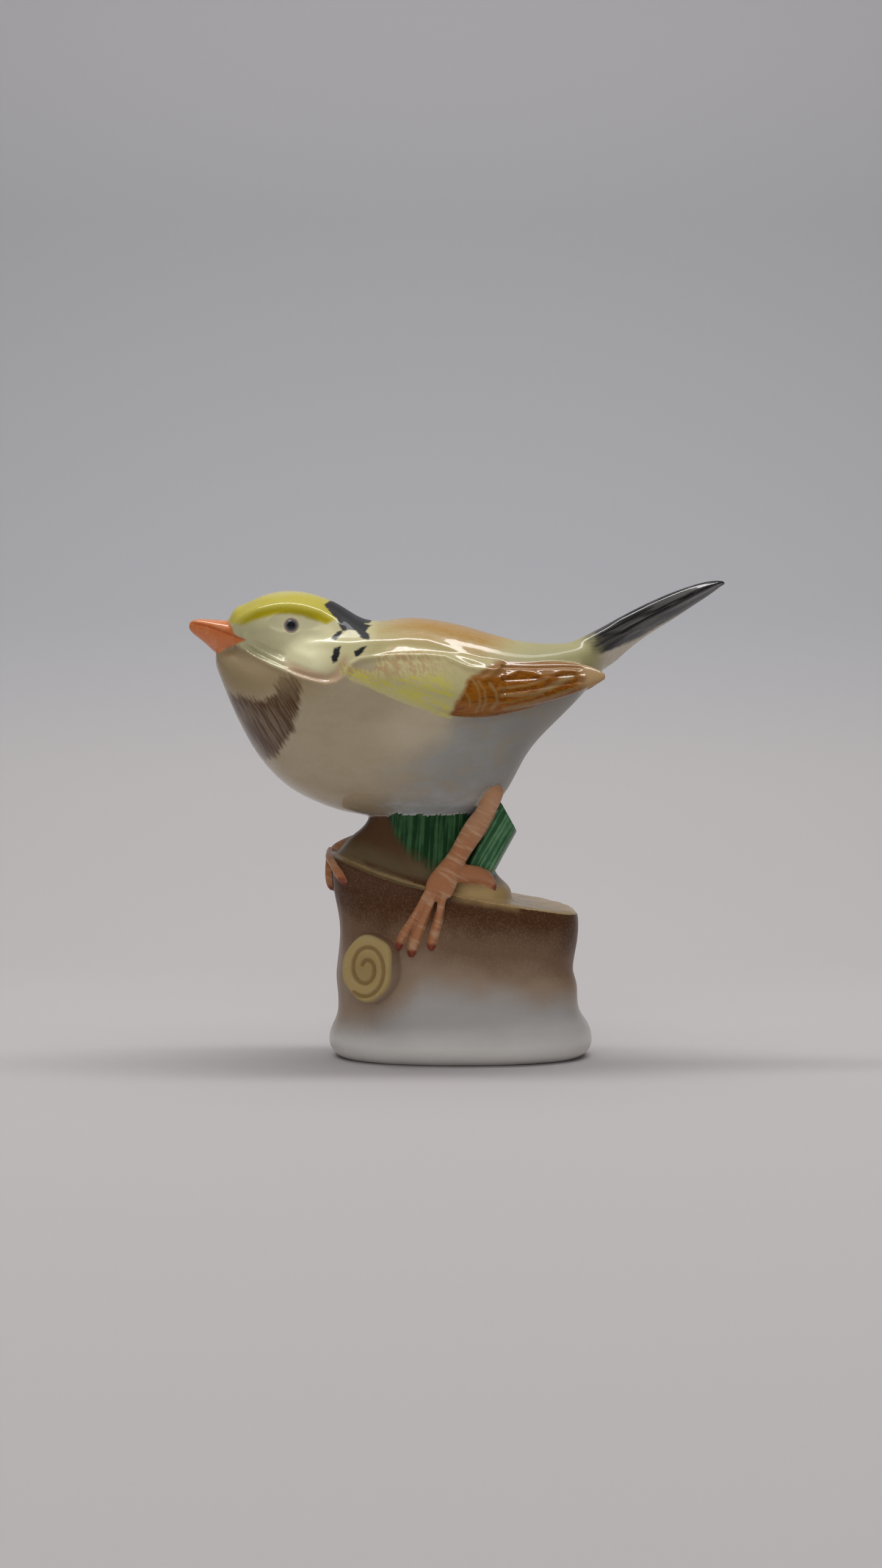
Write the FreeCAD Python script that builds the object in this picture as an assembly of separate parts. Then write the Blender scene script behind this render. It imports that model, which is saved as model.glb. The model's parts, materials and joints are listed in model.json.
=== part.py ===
import FreeCAD, Part
import math
import os
from FreeCAD import Vector

# A small porcelain songbird perched on a sawn tree stump, in millimetres.
# The hollow stump and the hollow bird are slip castings; the beak, wings, tail, legs, toes, leaves,
# branch stub and eyes are separate pieces luted on with slip before firing.
# +Z is up, -X is where the beak points, and -Y is the bird's left side. The origin is on the
# surface that the figurine stands on, under the middle of its plinth.

# ---------------------------------------------------------------- walls and vents
BODY_WALL = 2.6           # slip-cast wall of the bird
STUMP_WALL = 2.8          # slip-cast wall of the stump
FLOOR = 3.0               # thickness of the plinth's floor
FOOT_RECESS = 1.0         # how far the underside is hollowed inside the foot ring
FOOT_RING = 4.0           # width of the bare foot ring
BASE_VENT = 3.0           # diameter of the vent through the floor
BODY_VENT = 2.4           # diameter of the vent between the bird and the stump
VENT_X = -6.0             # where the belly vent stands
BASE_VENT_X = 6.0         # where the floor vent stands
OVERRUN = 1.0             # how far a cutting form runs past what it cuts

# ---------------------------------------------------------------- bird
# Rings across the torso and across the head, which run into each other at the neck:
# (x, top, widest height, bottom, half width)
TORSO = [
    (-45.1, 77.5, 74.5, 71.8, 1.2),
    (-44.5, 76.4, 73.0, 70.2, 2.7),
    (-42.6, 74.6, 70.9, 65.5, 5.2),
    (-40.0, 74.6, 69.0, 60.0, 8.0),
    (-36.5, 74.8, 67.0, 54.3, 11.0),
    (-32.0, 75.4, 65.2, 49.8, 13.5),
    (-27.0, 76.6, 64.0, 46.9, 15.2),
    (-22.0, 78.8, 63.4, 45.1, 16.3),
    (-17.5, 80.35, 63.0, 44.2, 16.9),
    (-11.0, 80.55, 62.6, 42.9, 17.2),
    (-4.0, 80.15, 62.2, 42.3, 16.8),
    (1.0, 79.05, 62.2, 43.0, 15.9),
    (5.0, 77.9, 62.8, 45.0, 14.8),
    (8.5, 76.9, 64.0, 48.9, 13.5),
    (12.0, 76.2, 65.8, 55.2, 11.8),
    (16.5, 75.9, 68.0, 60.5, 9.2),
    (21.0, 76.2, 70.8, 65.0, 6.6),
    (24.5, 77.0, 72.9, 68.7, 4.8),
    (26.5, 77.4, 74.6, 72.0, 3.0),
]
HEAD = [
    (-44.4, 79.2, 77.9, 76.4, 1.0),
    (-42.6, 81.1, 77.8, 73.8, 3.7),
    (-40.0, 83.2, 77.8, 71.7, 6.1),
    (-36.5, 84.75, 77.6, 69.6, 8.2),
    (-32.0, 85.6, 77.2, 68.2, 9.6),
    (-27.0, 85.0, 76.6, 67.6, 9.9),
    (-22.0, 82.9, 75.6, 68.0, 9.4),
    (-17.5, 80.3, 74.4, 69.4, 7.6),
]
ROUNDNESS = 2.2           # 2 is an ellipse, more is squarer
NECK_BLEND = 4.0          # how sharply head and torso meet, more is sharper
BIRD_POINTS = 32

# Beak rings: (x, top, widest height, bottom, half width)
BEAK = [
    (-50.1, 79.75, 79.3, 78.7, 0.45),
    (-49.4, 80.25, 79.3, 77.8, 1.15),
    (-47.6, 80.45, 79.0, 76.35, 2.0),
    (-45.4, 80.35, 78.4, 74.35, 3.0),
    (-43.0, 80.2, 77.8, 73.4, 4.2),
    (-40.6, 79.4, 77.2, 74.2, 4.9),
]
GAPE = [(-51.0, 79.2), (-46.0, 78.75), (-43.0, 78.1), (-40.0, 76.9)]
GAPE_DEPTH = 0.4          # how deep the mouth line is pressed into each side
GAPE_HALF_WIDTH = 0.3
GAPE_WEB = 0.25           # half thickness that the groove leaves at the tip

EYE_X, EYE_Z = -30.5, 78.4
EYE_RADIUS = 1.35
EYE_PROUD = 0.45          # how far the eye's dome stands out
SOCKET_CENTRE = (-32.3, 79.6)
SOCKET_HALF = (8.6, 2.6)  # half length and half height of the hollow under the brow
SOCKET_DEPTH = 0.55
SOCKET_SWELL = 2.2        # how far the form that presses it in stands off the head
SOCKET_SPREAD = 1.25      # size of that form, of the hollow that it leaves
SOCKET_TILT = 2.0         # degrees, nose up
# Creases pressed into each side as (x, z) points: two jaw lines, and the cheek's edge over the breast
CREASES = [
    [(-39.9, 75.3), (-37.5, 74.1), (-34.5, 72.7), (-31.0, 71.0)],
    [(-39.3, 76.0), (-37.0, 75.2), (-34.3, 74.2), (-31.5, 73.2)],
    [(-31.0, 70.7), (-29.0, 69.7), (-26.5, 69.0), (-24.0, 68.8), (-22.2, 69.4)],
]
CREASE_RADIUS = 0.7
CREASE_DEPTH = 0.32
CREASE_END = 0.25         # depth left at a crease's ends, of its full depth

# Wing rings: (x, upper edge y, upper edge z, lower edge y, lower edge z, how far the outside bulges)
WING = [
    (-21.5, 10.4, 73.6, 13.6, 69.0, 0.4),
    (-18.0, 10.8, 74.6, 15.6, 67.0, 1.2),
    (-12.0, 11.3, 74.9, 16.9, 65.2, 1.9),
    (-5.0, 11.4, 74.2, 17.5, 63.2, 2.1),
    (2.0, 10.9, 72.9, 16.7, 62.2, 2.0),
    (8.0, 9.7, 72.2, 15.2, 63.0, 1.8),
    (14.0, 8.3, 71.9, 12.8, 64.5, 1.5),
    (19.0, 7.2, 71.9, 10.7, 65.9, 1.2),
    (23.0, 6.5, 71.4, 8.9, 67.3, 0.8),
    (25.6, 6.6, 70.3, 7.6, 68.6, 0.35),
    (26.2, 6.8, 69.8, 7.3, 69.1, 0.15),
]
WING_SQUARENESS = 2.3
WING_SUNK = 3.0           # how far a wing's blank reaches into the bird before it is fitted
FREE_FROM = 12.0          # where the wing starts to leave the bird's side
FREE_BY = 21.5            # where it has left it
FREE_TIP = 0.55           # how far the free tip's inner face swells, as a share of its outside
# The coverts over the flight feathers: how much thicker they are, station by station
COVERT_STATIONS = [-19.5, -15.0, -9.0, -3.0, 2.0, 5.5, 7.5, 8.3]
COVERT_SWELL = [1.05, 1.2, 1.25, 1.3, 1.35, 1.3, 1.15, 0.9]
COVERT_TRIM = 0.03        # how far they stop short of the wing's edges, of its height
# Grooves between flight feathers: heights from the lower edge (-1) to the upper edge (1)
FEATHER_GROOVES = [-0.5, 0.0, 0.5]
FEATHER_STATIONS = [7.0, 10.0, 13.0, 16.0, 19.0, 22.0]
GROOVE_RADIUS = 0.4
GROOVE_DEPTH = 0.22

# Tail rings along its centre line: (x, z, half width, ridge height, keel depth)
TAIL = [
    (16.0, 69.6, 4.4, 4.0, 3.6),
    (20.5, 71.9, 4.8, 3.9, 3.8),
    (26.0, 74.75, 5.1, 3.7, 3.6),
    (30.0, 77.4, 5.2, 3.25, 2.9),
    (34.0, 80.0, 5.1, 2.8, 2.6),
    (38.0, 82.2, 4.9, 2.5, 2.35),
    (42.0, 84.3, 4.3, 2.0, 1.85),
    (45.5, 85.95, 3.2, 1.4, 1.25),
    (47.7, 86.85, 1.9, 0.8, 0.65),
    (48.8, 87.15, 0.8, 0.35, 0.3),
]
TAIL_PITCH = 30.0         # degrees that its rings lean back
TAIL_CREASE = 0.62        # where the flat of the back turns down to the side, of the half width
TAIL_SHARPNESS = 9.0

# ---------------------------------------------------------------- legs
# A limb's stations: (x, y, z, half width, half thickness); y is negative on the bird's left
LEFT_LEG = [
    (6.2, -7.9, 49.6, 1.7, 1.6),
    (4.5, -9.2, 45.2, 1.75, 1.6),
    (2.6, -10.0, 42.2, 2.0, 1.7),
    (0.8, -10.9, 39.4, 1.85, 1.65),
    (-0.9, -11.7, 36.6, 1.8, 1.6),
    (-2.5, -12.6, 34.0, 2.3, 1.55),
    (-3.7, -13.3, 31.8, 2.6, 1.25),
    (-4.2, -13.7, 30.6, 2.35, 0.9),
]
# Toes: (x, z, radius) down the front of the stump
LEFT_FRONT_TOES = [
    [(-5.3, 31.8, 0.75), (-6.7, 29.6, 0.6), (-8.4, 26.4, 0.52), (-10.3, 23.2, 0.68), (-11.0, 21.8, 0.68),
     (-11.3, 20.7, 0.3)],
    [(-4.1, 32.0, 0.8), (-5.1, 29.8, 0.7), (-6.7, 26.2, 0.75), (-8.2, 22.4, 0.92), (-8.7, 20.8, 0.85),
     (-8.9, 19.4, 0.3)],
    [(-2.8, 31.8, 0.85), (-3.3, 29.8, 0.75), (-4.0, 26.4, 0.68), (-4.8, 23.4, 0.74), (-5.2, 22.0, 0.7),
     (-5.4, 20.6, 0.3)],
]
LEFT_HIND_TOE = [
    (-1.6, -12.1, 33.9, 1.5, 1.4),
    (0.8, -11.3, 34.0, 1.6, 1.4),
    (3.0, -10.4, 33.7, 1.5, 1.35),
    (4.9, -9.6, 32.6, 1.2, 1.1),
    (6.1, -9.1, 31.3, 0.5, 0.5),
]
RIGHT_LEG = [
    (-6.5, 7.6, 47.0, 1.7, 1.6),
    (-10.5, 9.0, 43.2, 1.6, 1.5),
    (-14.5, 8.8, 40.8, 1.7, 1.5),
    (-18.2, 7.0, 39.4, 1.9, 1.4),
    (-21.0, 4.6, 38.4, 2.1, 1.2),
    (-22.9, 3.1, 37.2, 1.9, 0.9),
]
# Toes over the end of the stump: (y, z, radius)
RIGHT_FRONT_TOES = [
    [(1.4, 37.6, 0.8), (-2.4, 36.9, 0.75), (-6.0, 35.9, 0.7), (-8.2, 34.3, 0.75), (-9.0, 33.1, 0.72),
     (-9.3, 32.1, 0.3)],
    [(2.6, 37.6, 0.9), (1.4, 36.4, 0.85), (0.4, 34.8, 0.85), (-0.1, 32.9, 0.9), (-0.3, 31.6, 0.85),
     (-0.3, 30.4, 0.3)],
    [(3.9, 37.6, 0.85), (4.6, 36.4, 0.8), (5.2, 34.9, 0.75), (5.6, 33.1, 0.8), (5.8, 31.9, 0.75),
     (5.9, 30.8, 0.3)],
]
RIGHT_HIND_TOE = [
    (-18.6, 7.4, 39.0, 1.2, 1.1),
    (-15.8, 9.1, 38.0, 1.15, 1.05),
    (-13.0, 9.8, 36.8, 1.1, 1.0),
    (-11.0, 10.1, 35.6, 0.9, 0.85),
    (-10.2, 10.1, 34.5, 0.35, 0.35),
]
TOE_SUNK = 0.35           # share of a toe's radius pressed below the face it lies on

# ---------------------------------------------------------------- stump
# Rings round the stump: (z, left end x, right end x, half depth, squareness)
STUMP = [
    (0.0, -21.4, 21.4, 13.2, 2.3),
    (0.9, -23.2, 23.2, 14.9, 2.3),
    (2.9, -24.2, 24.2, 15.9, 2.3),
    (5.2, -23.8, 23.8, 15.6, 2.35),
    (6.7, -23.1, 23.0, 14.9, 2.45),
    (7.9, -22.7, 22.2, 14.0, 2.6),
    (9.6, -22.5, 21.6, 13.4, 2.8),
    (14.0, -22.8, 21.2, 13.2, 3.1),
    (20.0, -22.3, 21.2, 13.0, 3.2),
    (27.0, -22.6, 21.4, 13.0, 3.2),
    (34.0, -23.6, 21.6, 13.0, 3.2),
    (40.0, -23.4, 21.6, 12.6, 3.2),
]
# The sawn top, from its left end to its right end: (x, z)
SAWN_TOP = [
    (-26.0, 38.6), (-22.0, 37.0), (-18.0, 35.4), (-14.0, 33.9), (-10.0, 32.7), (-6.0, 31.8),
    (0.0, 30.6), (8.0, 29.2), (14.0, 28.2), (26.0, 26.0),
]
SAWN_LEAN = 2.5           # degrees that the sawn top leans to the front
# The crest of torn wood that carries the belly: (z, left end x, right end x, half depth, squareness)
CREST = [
    (24.0, -22.0, 11.0, 12.2, 3.4),
    (30.2, -23.0, 9.4, 11.8, 3.4),
    (32.0, -23.3, 8.0, 11.2, 3.4),
    (34.6, -23.4, 5.9, 9.9, 3.3),
    (37.5, -22.5, 5.2, 8.7, 3.2),
    (40.5, -20.0, 4.8, 7.6, 3.0),
    (43.8, -16.8, 4.6, 6.8, 3.0),
    (48.0, -12.0, 4.4, 6.0, 3.0),
]

# Branch stub: its sawn face, and how it leaves the stump
STUB_CENTRE = Vector(-16.9, -14.9, 17.4)
STUB_OUTWARD = Vector(-0.33, -0.94, 0.06)
STUB_RINGS = [(6.0, 1.25), (2.0, 1.08), (0.4, 1.0), (0.0, 0.95)]   # (depth behind the face, size)
# The sawn face's outline as flats round its centre: (direction in degrees, distance)
STUB_FLATS = [
    (0, 4.6), (38, 4.9), (82, 6.1), (120, 5.6), (180, 4.5), (225, 5.2), (270, 6.0), (318, 5.0),
]
STUB_SHARPNESS = 9.0
SPIRAL_HALF = (3.9, 5.1)          # half width and half height of the outer turn
SPIRAL_EYE = 0.22                 # how small the innermost turn is, of the outer
SPIRAL_TURNS = 1.75
SPIRAL_START = 0.6
SPIRAL_STEPS = 28
SPIRAL_RADIUS = 0.45
SPIRAL_DEPTH = 0.25

# ---------------------------------------------------------------- leaves
# Each leaf is a slab through centres of its front, with how wide it is there
FRONT_LEAF = [
    (Vector(-5.9, -11.4, 32.2), 0.30),
    (Vector(-6.0, -10.6, 35.4), 0.54),
    (Vector(-5.9, -9.8, 38.8), 0.82),
    (Vector(-5.7, -8.9, 42.4), 0.95),
    (Vector(-5.8, -8.0, 47.0), 1.0),
]
FRONT_LEAF_HALF_WIDTH = 7.4
FRONT_LEAF_DEPTH = 5.2
FRONT_LEAF_FLUTES = 4
FRONT_LEAF_CROWN = 1.0    # how far its side edges turn back towards the crest
TAIL_LEAF = [
    (Vector(1.8, -9.3, 31.6), 0.98),
    (Vector(4.9, -9.2, 37.6), 1.0),
    (Vector(7.6, -8.4, 42.6), 1.02),
    (Vector(10.6, -7.4, 48.0), 1.0),
]
TAIL_LEAF_HALF_WIDTH = 2.75
TAIL_LEAF_DEPTH = 16.0
TAIL_LEAF_FLUTES = 3
TAIL_LEAF_CROWN = 0.3
TAIL_LEAF_TRIM = (Vector(7.3, 0, 46.6), Vector(10.3, 0, 41.2))   # its cut end, upper and lower corner
FLUTE_DEPTH = 0.4

RING_POINTS = 24
HOLLOW_POINTS = 20        # the hollows are plainer than the skins
LIMB_POINTS = 10
WING_POINTS = 16
REACH = 60.0              # longer than anything that it cuts


# ---------------------------------------------------------------- curves and rings
def smooth_through(points):
    """A smooth function through (station, value) pairs; straight past its ends."""
    xs = [p[0] for p in points]
    ys = [p[1] for p in points]
    steps = [(ys[i + 1] - ys[i]) / (xs[i + 1] - xs[i]) for i in range(len(xs) - 1)]
    slopes = [steps[0]] + [(a + b) / 2 for a, b in zip(steps, steps[1:])] + [steps[-1]]

    def value(x):
        if x <= xs[0]:
            return ys[0] + slopes[0] * (x - xs[0])
        if x >= xs[-1]:
            return ys[-1] + slopes[-1] * (x - xs[-1])
        i = max(k for k in range(len(xs) - 1) if xs[k] <= x)
        run = xs[i + 1] - xs[i]
        t = (x - xs[i]) / run
        rise = ys[i + 1] - ys[i]
        bend = (slopes[i] + slopes[i + 1]) * run - 2 * rise
        lift = 3 * rise - (2 * slopes[i] + slopes[i + 1]) * run
        return ys[i] + t * (slopes[i] * run + t * (lift + t * bend))

    return value


def columns(rows):
    """One smooth function per column of a table of stations, after the first."""
    return [smooth_through([(r[0], r[c]) for r in rows]) for c in range(1, len(rows[0]))]


def power(value, exponent):
    return math.copysign(abs(value) ** exponent, value)


def closed_curve(points):
    """A smooth closed curve through the points, evenly divided so that rings of one form match."""
    divisions = [i / len(points) for i in range(len(points) + 1)]
    curve = Part.BSplineCurve()
    curve.interpolate(Points=points, PeriodicFlag=True, Parameters=divisions)
    return Part.Wire([curve.toShape()])


def loft(wires):
    return Part.makeLoft(wires, True)


def inset_ring(points, inset, axis):
    """The ring's points moved square to its curve, inwards by the inset."""
    moved = []
    for i, point in enumerate(points):
        along = points[(i + 1) % len(points)] - points[i - 1]
        inward = axis.cross(along)
        inward.normalize()
        moved.append(point + inward * inset)
    return moved


def superellipse(half_a, half_b, exponent, count):
    """Points round a rounded rectangle as (a, b) pairs."""
    turns = [2 * math.pi * i / count for i in range(count)]
    flatness = 2 / exponent
    return [(half_a * power(math.cos(t), flatness), half_b * power(math.sin(t), flatness)) for t in turns]


def rounded_polygon(flats, sharpness, count):
    """Points round flats given as (direction in degrees, distance), its corners rounded."""
    points = []
    for i in range(count):
        a = 2 * math.pi * i / count
        total = sum(max(0.0, math.cos(a - math.radians(d)) / r) ** sharpness for d, r in flats)
        reach = total ** (-1 / sharpness)
        points.append((reach * math.cos(a), reach * math.sin(a)))
    return points


def limb(stations, sideways=Vector(1, 0, 0)):
    """A tapering limb: oval rings square to its path, wide along the sideways direction."""
    centres = [Vector(*s[:3]) for s in stations]
    wires = []
    for i, (x, y, z, wide, thick) in enumerate(stations):
        ahead = centres[min(i + 1, len(centres) - 1)] - centres[max(i - 1, 0)]
        ahead.normalize()
        across = sideways - ahead * sideways.dot(ahead)
        across.normalize()
        through = ahead.cross(across)
        oval = superellipse(wide, thick, 2, LIMB_POINTS)
        wires.append(closed_curve([centres[i] + across * a + through * b for a, b in oval]))
    return loft(wires)


def mirrored(shape):
    return shape.mirror(Vector(0, 0, 0), Vector(0, 1, 0))


def upright(diameter, x, low, high):
    """A round rod along Z in the middle plane, to cut a vent with."""
    return Part.makeCylinder(diameter / 2, high - low, Vector(x, 0, low))


def fitted(shape, *forms):
    """The shape's largest solid once the room that each form takes is cut from it."""
    for form in forms:
        shape = shape.cut(form)
    return max(shape.Solids, key=lambda s: s.Volume)


# ---------------------------------------------------------------- bird pieces
TORSO_AT = columns(TORSO)
HEAD_AT = columns(HEAD)


def lobe(table, x):
    """A lobe's top, widest height, bottom and half width at station x, or None past its ends."""
    rows, functions = table
    if not rows[0][0] <= x <= rows[-1][0]:
        return None
    return [f(x) for f in functions]


def lobe_half_width(ring, z):
    if ring is None:
        return 0.0
    top, widest, bottom, half = ring
    share = (z - widest) / (top - widest if z > widest else bottom - widest)
    return half * (1 - share ** ROUNDNESS) ** (1 / ROUNDNESS) if share < 1 else 0.0


def bird_half_width(x, z):
    """How far the bird's skin stands from its middle plane."""
    lobes = lobe((TORSO, TORSO_AT), x), lobe((HEAD, HEAD_AT), x)
    return sum(lobe_half_width(ring, z) ** NECK_BLEND for ring in lobes) ** (1 / NECK_BLEND)


def bird_ring(x, inset=0.0, count=BIRD_POINTS):
    rings = [ring for ring in (lobe((TORSO, TORSO_AT), x), lobe((HEAD, HEAD_AT), x)) if ring]
    top, bottom = max(r[0] for r in rings), min(r[2] for r in rings)
    points = []
    for i in range(count):
        a = 2 * math.pi * i / count
        z = (top + bottom) / 2 + (top - bottom) / 2 * math.sin(a)
        points.append(Vector(x, math.copysign(bird_half_width(x, z), math.cos(a)), z))
    return closed_curve(inset_ring(points, inset, Vector(1, 0, 0)))


def brow_hollow():
    """The shallow hollow under the left brow, as the swollen form that presses it in."""
    x, z = SOCKET_CENTRE
    half_length, half_height = SOCKET_HALF
    size = FreeCAD.Matrix()
    size.scale(half_length * SOCKET_SPREAD, SOCKET_DEPTH + SOCKET_SWELL, half_height * SOCKET_SPREAD)
    hollow = Part.makeSphere(1.0).transformGeometry(size)
    hollow.rotate(Vector(0, 0, 0), Vector(0, 1, 0), SOCKET_TILT)
    hollow.translate(Vector(x, -(bird_half_width(x, z) + SOCKET_SWELL), z))
    return hollow


def crease(path, radius, depth):
    """A rounded crease pressed into the bird's left side along (x, z) points."""
    last = len(path) - 1
    stations = []
    for i, (x, z) in enumerate(path):
        pressed = depth * (CREASE_END if i in (0, last) else 1)
        stations.append((x, -(bird_half_width(x, z) + radius - pressed), z, radius, radius))
    return limb(stations, Vector(0, 1, 0))


def bird_skin():
    """The bird's outside as one solid form, with its brows and cheeks pressed in."""
    form = loft([bird_ring(row[0]) for row in TORSO])
    presses = [brow_hollow()] + [crease(path, CREASE_RADIUS, CREASE_DEPTH) for path in CREASES]
    for press in presses:
        form = form.cut(press).cut(mirrored(press))
    return form


def bird_body(form):
    """The hollow casting, with the belly vent that lets the kiln's gases into the stump."""
    hollow = loft([bird_ring(row[0], BODY_WALL, HOLLOW_POINTS) for row in TORSO[3:-3:2]])
    belly = TORSO_AT[2](VENT_X)
    vent = upright(BODY_VENT, VENT_X, belly - OVERRUN, belly + 2 * BODY_WALL)
    return form.cut(hollow).cut(vent)


def beak(form):
    """The beak, with the mouth line pressed into both sides, seated over the bird's face."""
    half_at = columns(BEAK)[3]
    wires = []
    for x, top, widest, bottom, half in BEAK:
        oval = superellipse(half, 1.0, 2, RING_POINTS)
        heights = [widest + b * (top - widest if b > 0 else widest - bottom) for a, b in oval]
        wires.append(closed_curve([Vector(x, a, z) for (a, b), z in zip(oval, heights)]))
    whole = loft(wires)
    edges = []
    for x, z in GAPE:
        inner, outer = max(half_at(x) - GAPE_DEPTH, GAPE_WEB), half_at(x) + OVERRUN
        high, low = z + 2 * GAPE_HALF_WIDTH, z - 2 * GAPE_HALF_WIDTH
        corners = [Vector(x, -inner, z), Vector(x, -outer, high), Vector(x, -outer, low)]
        edges.append(Part.makePolygon(corners + corners[:1]))
    mouth = Part.makeLoft(edges, True, True)
    return whole.cut(mouth).cut(mirrored(mouth)).cut(form)


def eye(form):
    skin = bird_half_width(EYE_X, EYE_Z) - SOCKET_DEPTH
    centre = Vector(EYE_X, -(skin + EYE_PROUD - EYE_RADIUS), EYE_Z)
    return Part.makeSphere(EYE_RADIUS, centre).cut(form)


def wing_section(row):
    """The middle, the upper half and the outward direction of a wing ring."""
    x, y_up, z_up, y_low, z_low = row[:5]
    upper, lower = Vector(x, -y_up, z_up), Vector(x, -y_low, z_low)
    half = (upper - lower) / 2
    out = Vector(0, half.z, -half.y)
    if out.y > 0:
        out = -out
    out.normalize()
    return (upper + lower) / 2, half, out


def wing_form(rows):
    """A lens-shaped loft through wing rings, full outside, sunk into the bird inside."""
    wires = []
    for row in rows:
        middle, half, out = wing_section(row)
        bulge = row[5]
        free = min(max(0.0, (row[0] - FREE_FROM) / (FREE_BY - FREE_FROM)), 1.0)
        inward = WING_SUNK + (FREE_TIP * bulge - WING_SUNK) * free
        points = []
        for a, b in superellipse(1.0, 1.0, WING_SQUARENESS, WING_POINTS):
            points.append(middle + half * a + out * (b * (bulge if b > 0 else inward)))
        wires.append(closed_curve(points))
    return loft(wires)


def wing_blank():
    """The left wing before it is fitted: coverts over grooved flight feathers."""
    at = columns(WING)
    coverts = []
    for share, x in zip(COVERT_SWELL, COVERT_STATIONS):
        y_up, z_up, y_low, z_low, bulge = [f(x) for f in at]
        dy, dz = COVERT_TRIM * (y_low - y_up), COVERT_TRIM * (z_up - z_low)
        coverts.append((x, y_up + dy, z_up - dz, y_low - dy, z_low + dz, bulge * share))
    wing = wing_form(WING).fuse(wing_form(coverts))
    for height in FEATHER_GROOVES:
        path = []
        for x in FEATHER_STATIONS:
            middle, half, out = wing_section((x,) + tuple(f(x) for f in at))
            swell = at[4](x) * (1 - abs(height) ** WING_SQUARENESS) ** (1 / WING_SQUARENESS)
            spot = middle + half * height + out * (swell + GROOVE_RADIUS - GROOVE_DEPTH)
            path.append((spot.x, spot.y, spot.z, GROOVE_RADIUS, GROOVE_RADIUS))
        wing = wing.cut(limb(path, Vector(0, 0, 1)))
    return wing


def tail_blank():
    """The tail: a flat back with a crease down each side and a keel below."""
    pitch = math.radians(TAIL_PITCH)
    above = Vector(-math.sin(pitch), 0, math.cos(pitch))
    wires = []
    for x, z, half, ridge, keel in TAIL:
        slope = half * (1 - TAIL_CREASE)
        side = math.degrees(math.atan2(slope, ridge)), half * ridge / math.hypot(ridge, slope)
        under = -math.degrees(math.atan2(half, keel)), half * keel / math.hypot(half, keel)
        flats = [(90, ridge), side, under, (180 - side[0], side[1]), (180 - under[0], under[1])]
        outline = rounded_polygon(flats, TAIL_SHARPNESS, RING_POINTS)
        wires.append(closed_curve([Vector(x, a, z) + above * b for a, b in outline]))
    return loft(wires)


# ---------------------------------------------------------------- stump pieces
STUMP_AT = columns(STUMP)


def stump_loft(rows, inset=0.0, count=RING_POINTS):
    wires = []
    for z, left, right, half_depth, squareness in rows:
        centre, half = (left + right) / 2, (right - left) / 2
        oval = superellipse(half - inset, half_depth - inset, squareness, count)
        wires.append(closed_curve([Vector(centre + a, b, z) for a, b in oval]))
    return loft(wires)


def above_sawn_top(lowered=0.0):
    """Everything above the sawn top, or above a face that much below it."""
    edge = Part.BSplineCurve()
    edge.interpolate([Vector(x, -REACH / 2, z - lowered) for x, z in SAWN_TOP])
    first, last = edge.StartPoint, edge.EndPoint
    corners = [last, Vector(last.x, last.y, REACH), Vector(first.x, first.y, REACH), first]
    sides = [Part.makeLine(a, b) for a, b in zip(corners, corners[1:])]
    above = Part.Face(Part.Wire([edge.toShape()] + sides)).extrude(Vector(0, REACH, 0))
    above.rotate(Vector(0, 0, first.z), Vector(1, 0, 0), SAWN_LEAN)
    return above


def stump_outside():
    return stump_loft(STUMP).cut(above_sawn_top()).fuse(stump_loft(CREST))


def stump_inside():
    floor = (FLOOR,) + tuple(f(FLOOR) for f in STUMP_AT)
    rows = [floor] + [row for row in STUMP[::2] if row[0] > 2 * FLOOR] + STUMP[-1:]
    lower = stump_loft(rows, STUMP_WALL, HOLLOW_POINTS).cut(above_sawn_top(STUMP_WALL))
    return lower.fuse(stump_loft(CREST[:-2], STUMP_WALL, HOLLOW_POINTS))


def stump(form):
    """The hollow casting with its foot ring and vents."""
    z, left, right, depth, squareness = STUMP[0]
    inner = left + FOOT_RING, right - FOOT_RING, depth - FOOT_RING, squareness
    recess = stump_loft([(-OVERRUN,) + inner, (FOOT_RECESS,) + inner])
    base_vent = upright(BASE_VENT, BASE_VENT_X, -OVERRUN, FLOOR + OVERRUN)
    crest_vent = upright(BODY_VENT, VENT_X, CREST[-3][0] - STUMP_WALL, REACH)
    return form.cut(stump_inside()).cut(recess).cut(base_vent).cut(crest_vent)


def branch_stub(form):
    """The stub of a sawn branch, wider at its root, with a spiral pressed into its face."""
    outward = Vector(STUB_OUTWARD)
    outward.normalize()
    across = outward.cross(Vector(0, 0, 1))
    across.normalize()
    up = across.cross(outward)
    wires = []
    for depth, grow in STUB_RINGS:
        centre = STUB_CENTRE - outward * depth
        outline = rounded_polygon(STUB_FLATS, STUB_SHARPNESS, RING_POINTS)
        wires.append(closed_curve([centre + (across * a + up * b) * grow for a, b in outline]))
    stub = loft(wires)
    path = []
    for i in range(SPIRAL_STEPS + 1):
        turn = 2 * math.pi * SPIRAL_TURNS * i / SPIRAL_STEPS + SPIRAL_START
        share = SPIRAL_EYE + (1 - SPIRAL_EYE) * i / SPIRAL_STEPS
        spot = STUB_CENTRE + outward * (SPIRAL_RADIUS - SPIRAL_DEPTH)
        spot += across * (SPIRAL_HALF[0] * share * math.cos(turn))
        spot += up * (SPIRAL_HALF[1] * share * math.sin(turn))
        path.append((spot.x, spot.y, spot.z, SPIRAL_RADIUS, SPIRAL_RADIUS))
    return stub.cut(limb(path, outward)).cut(form)


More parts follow.
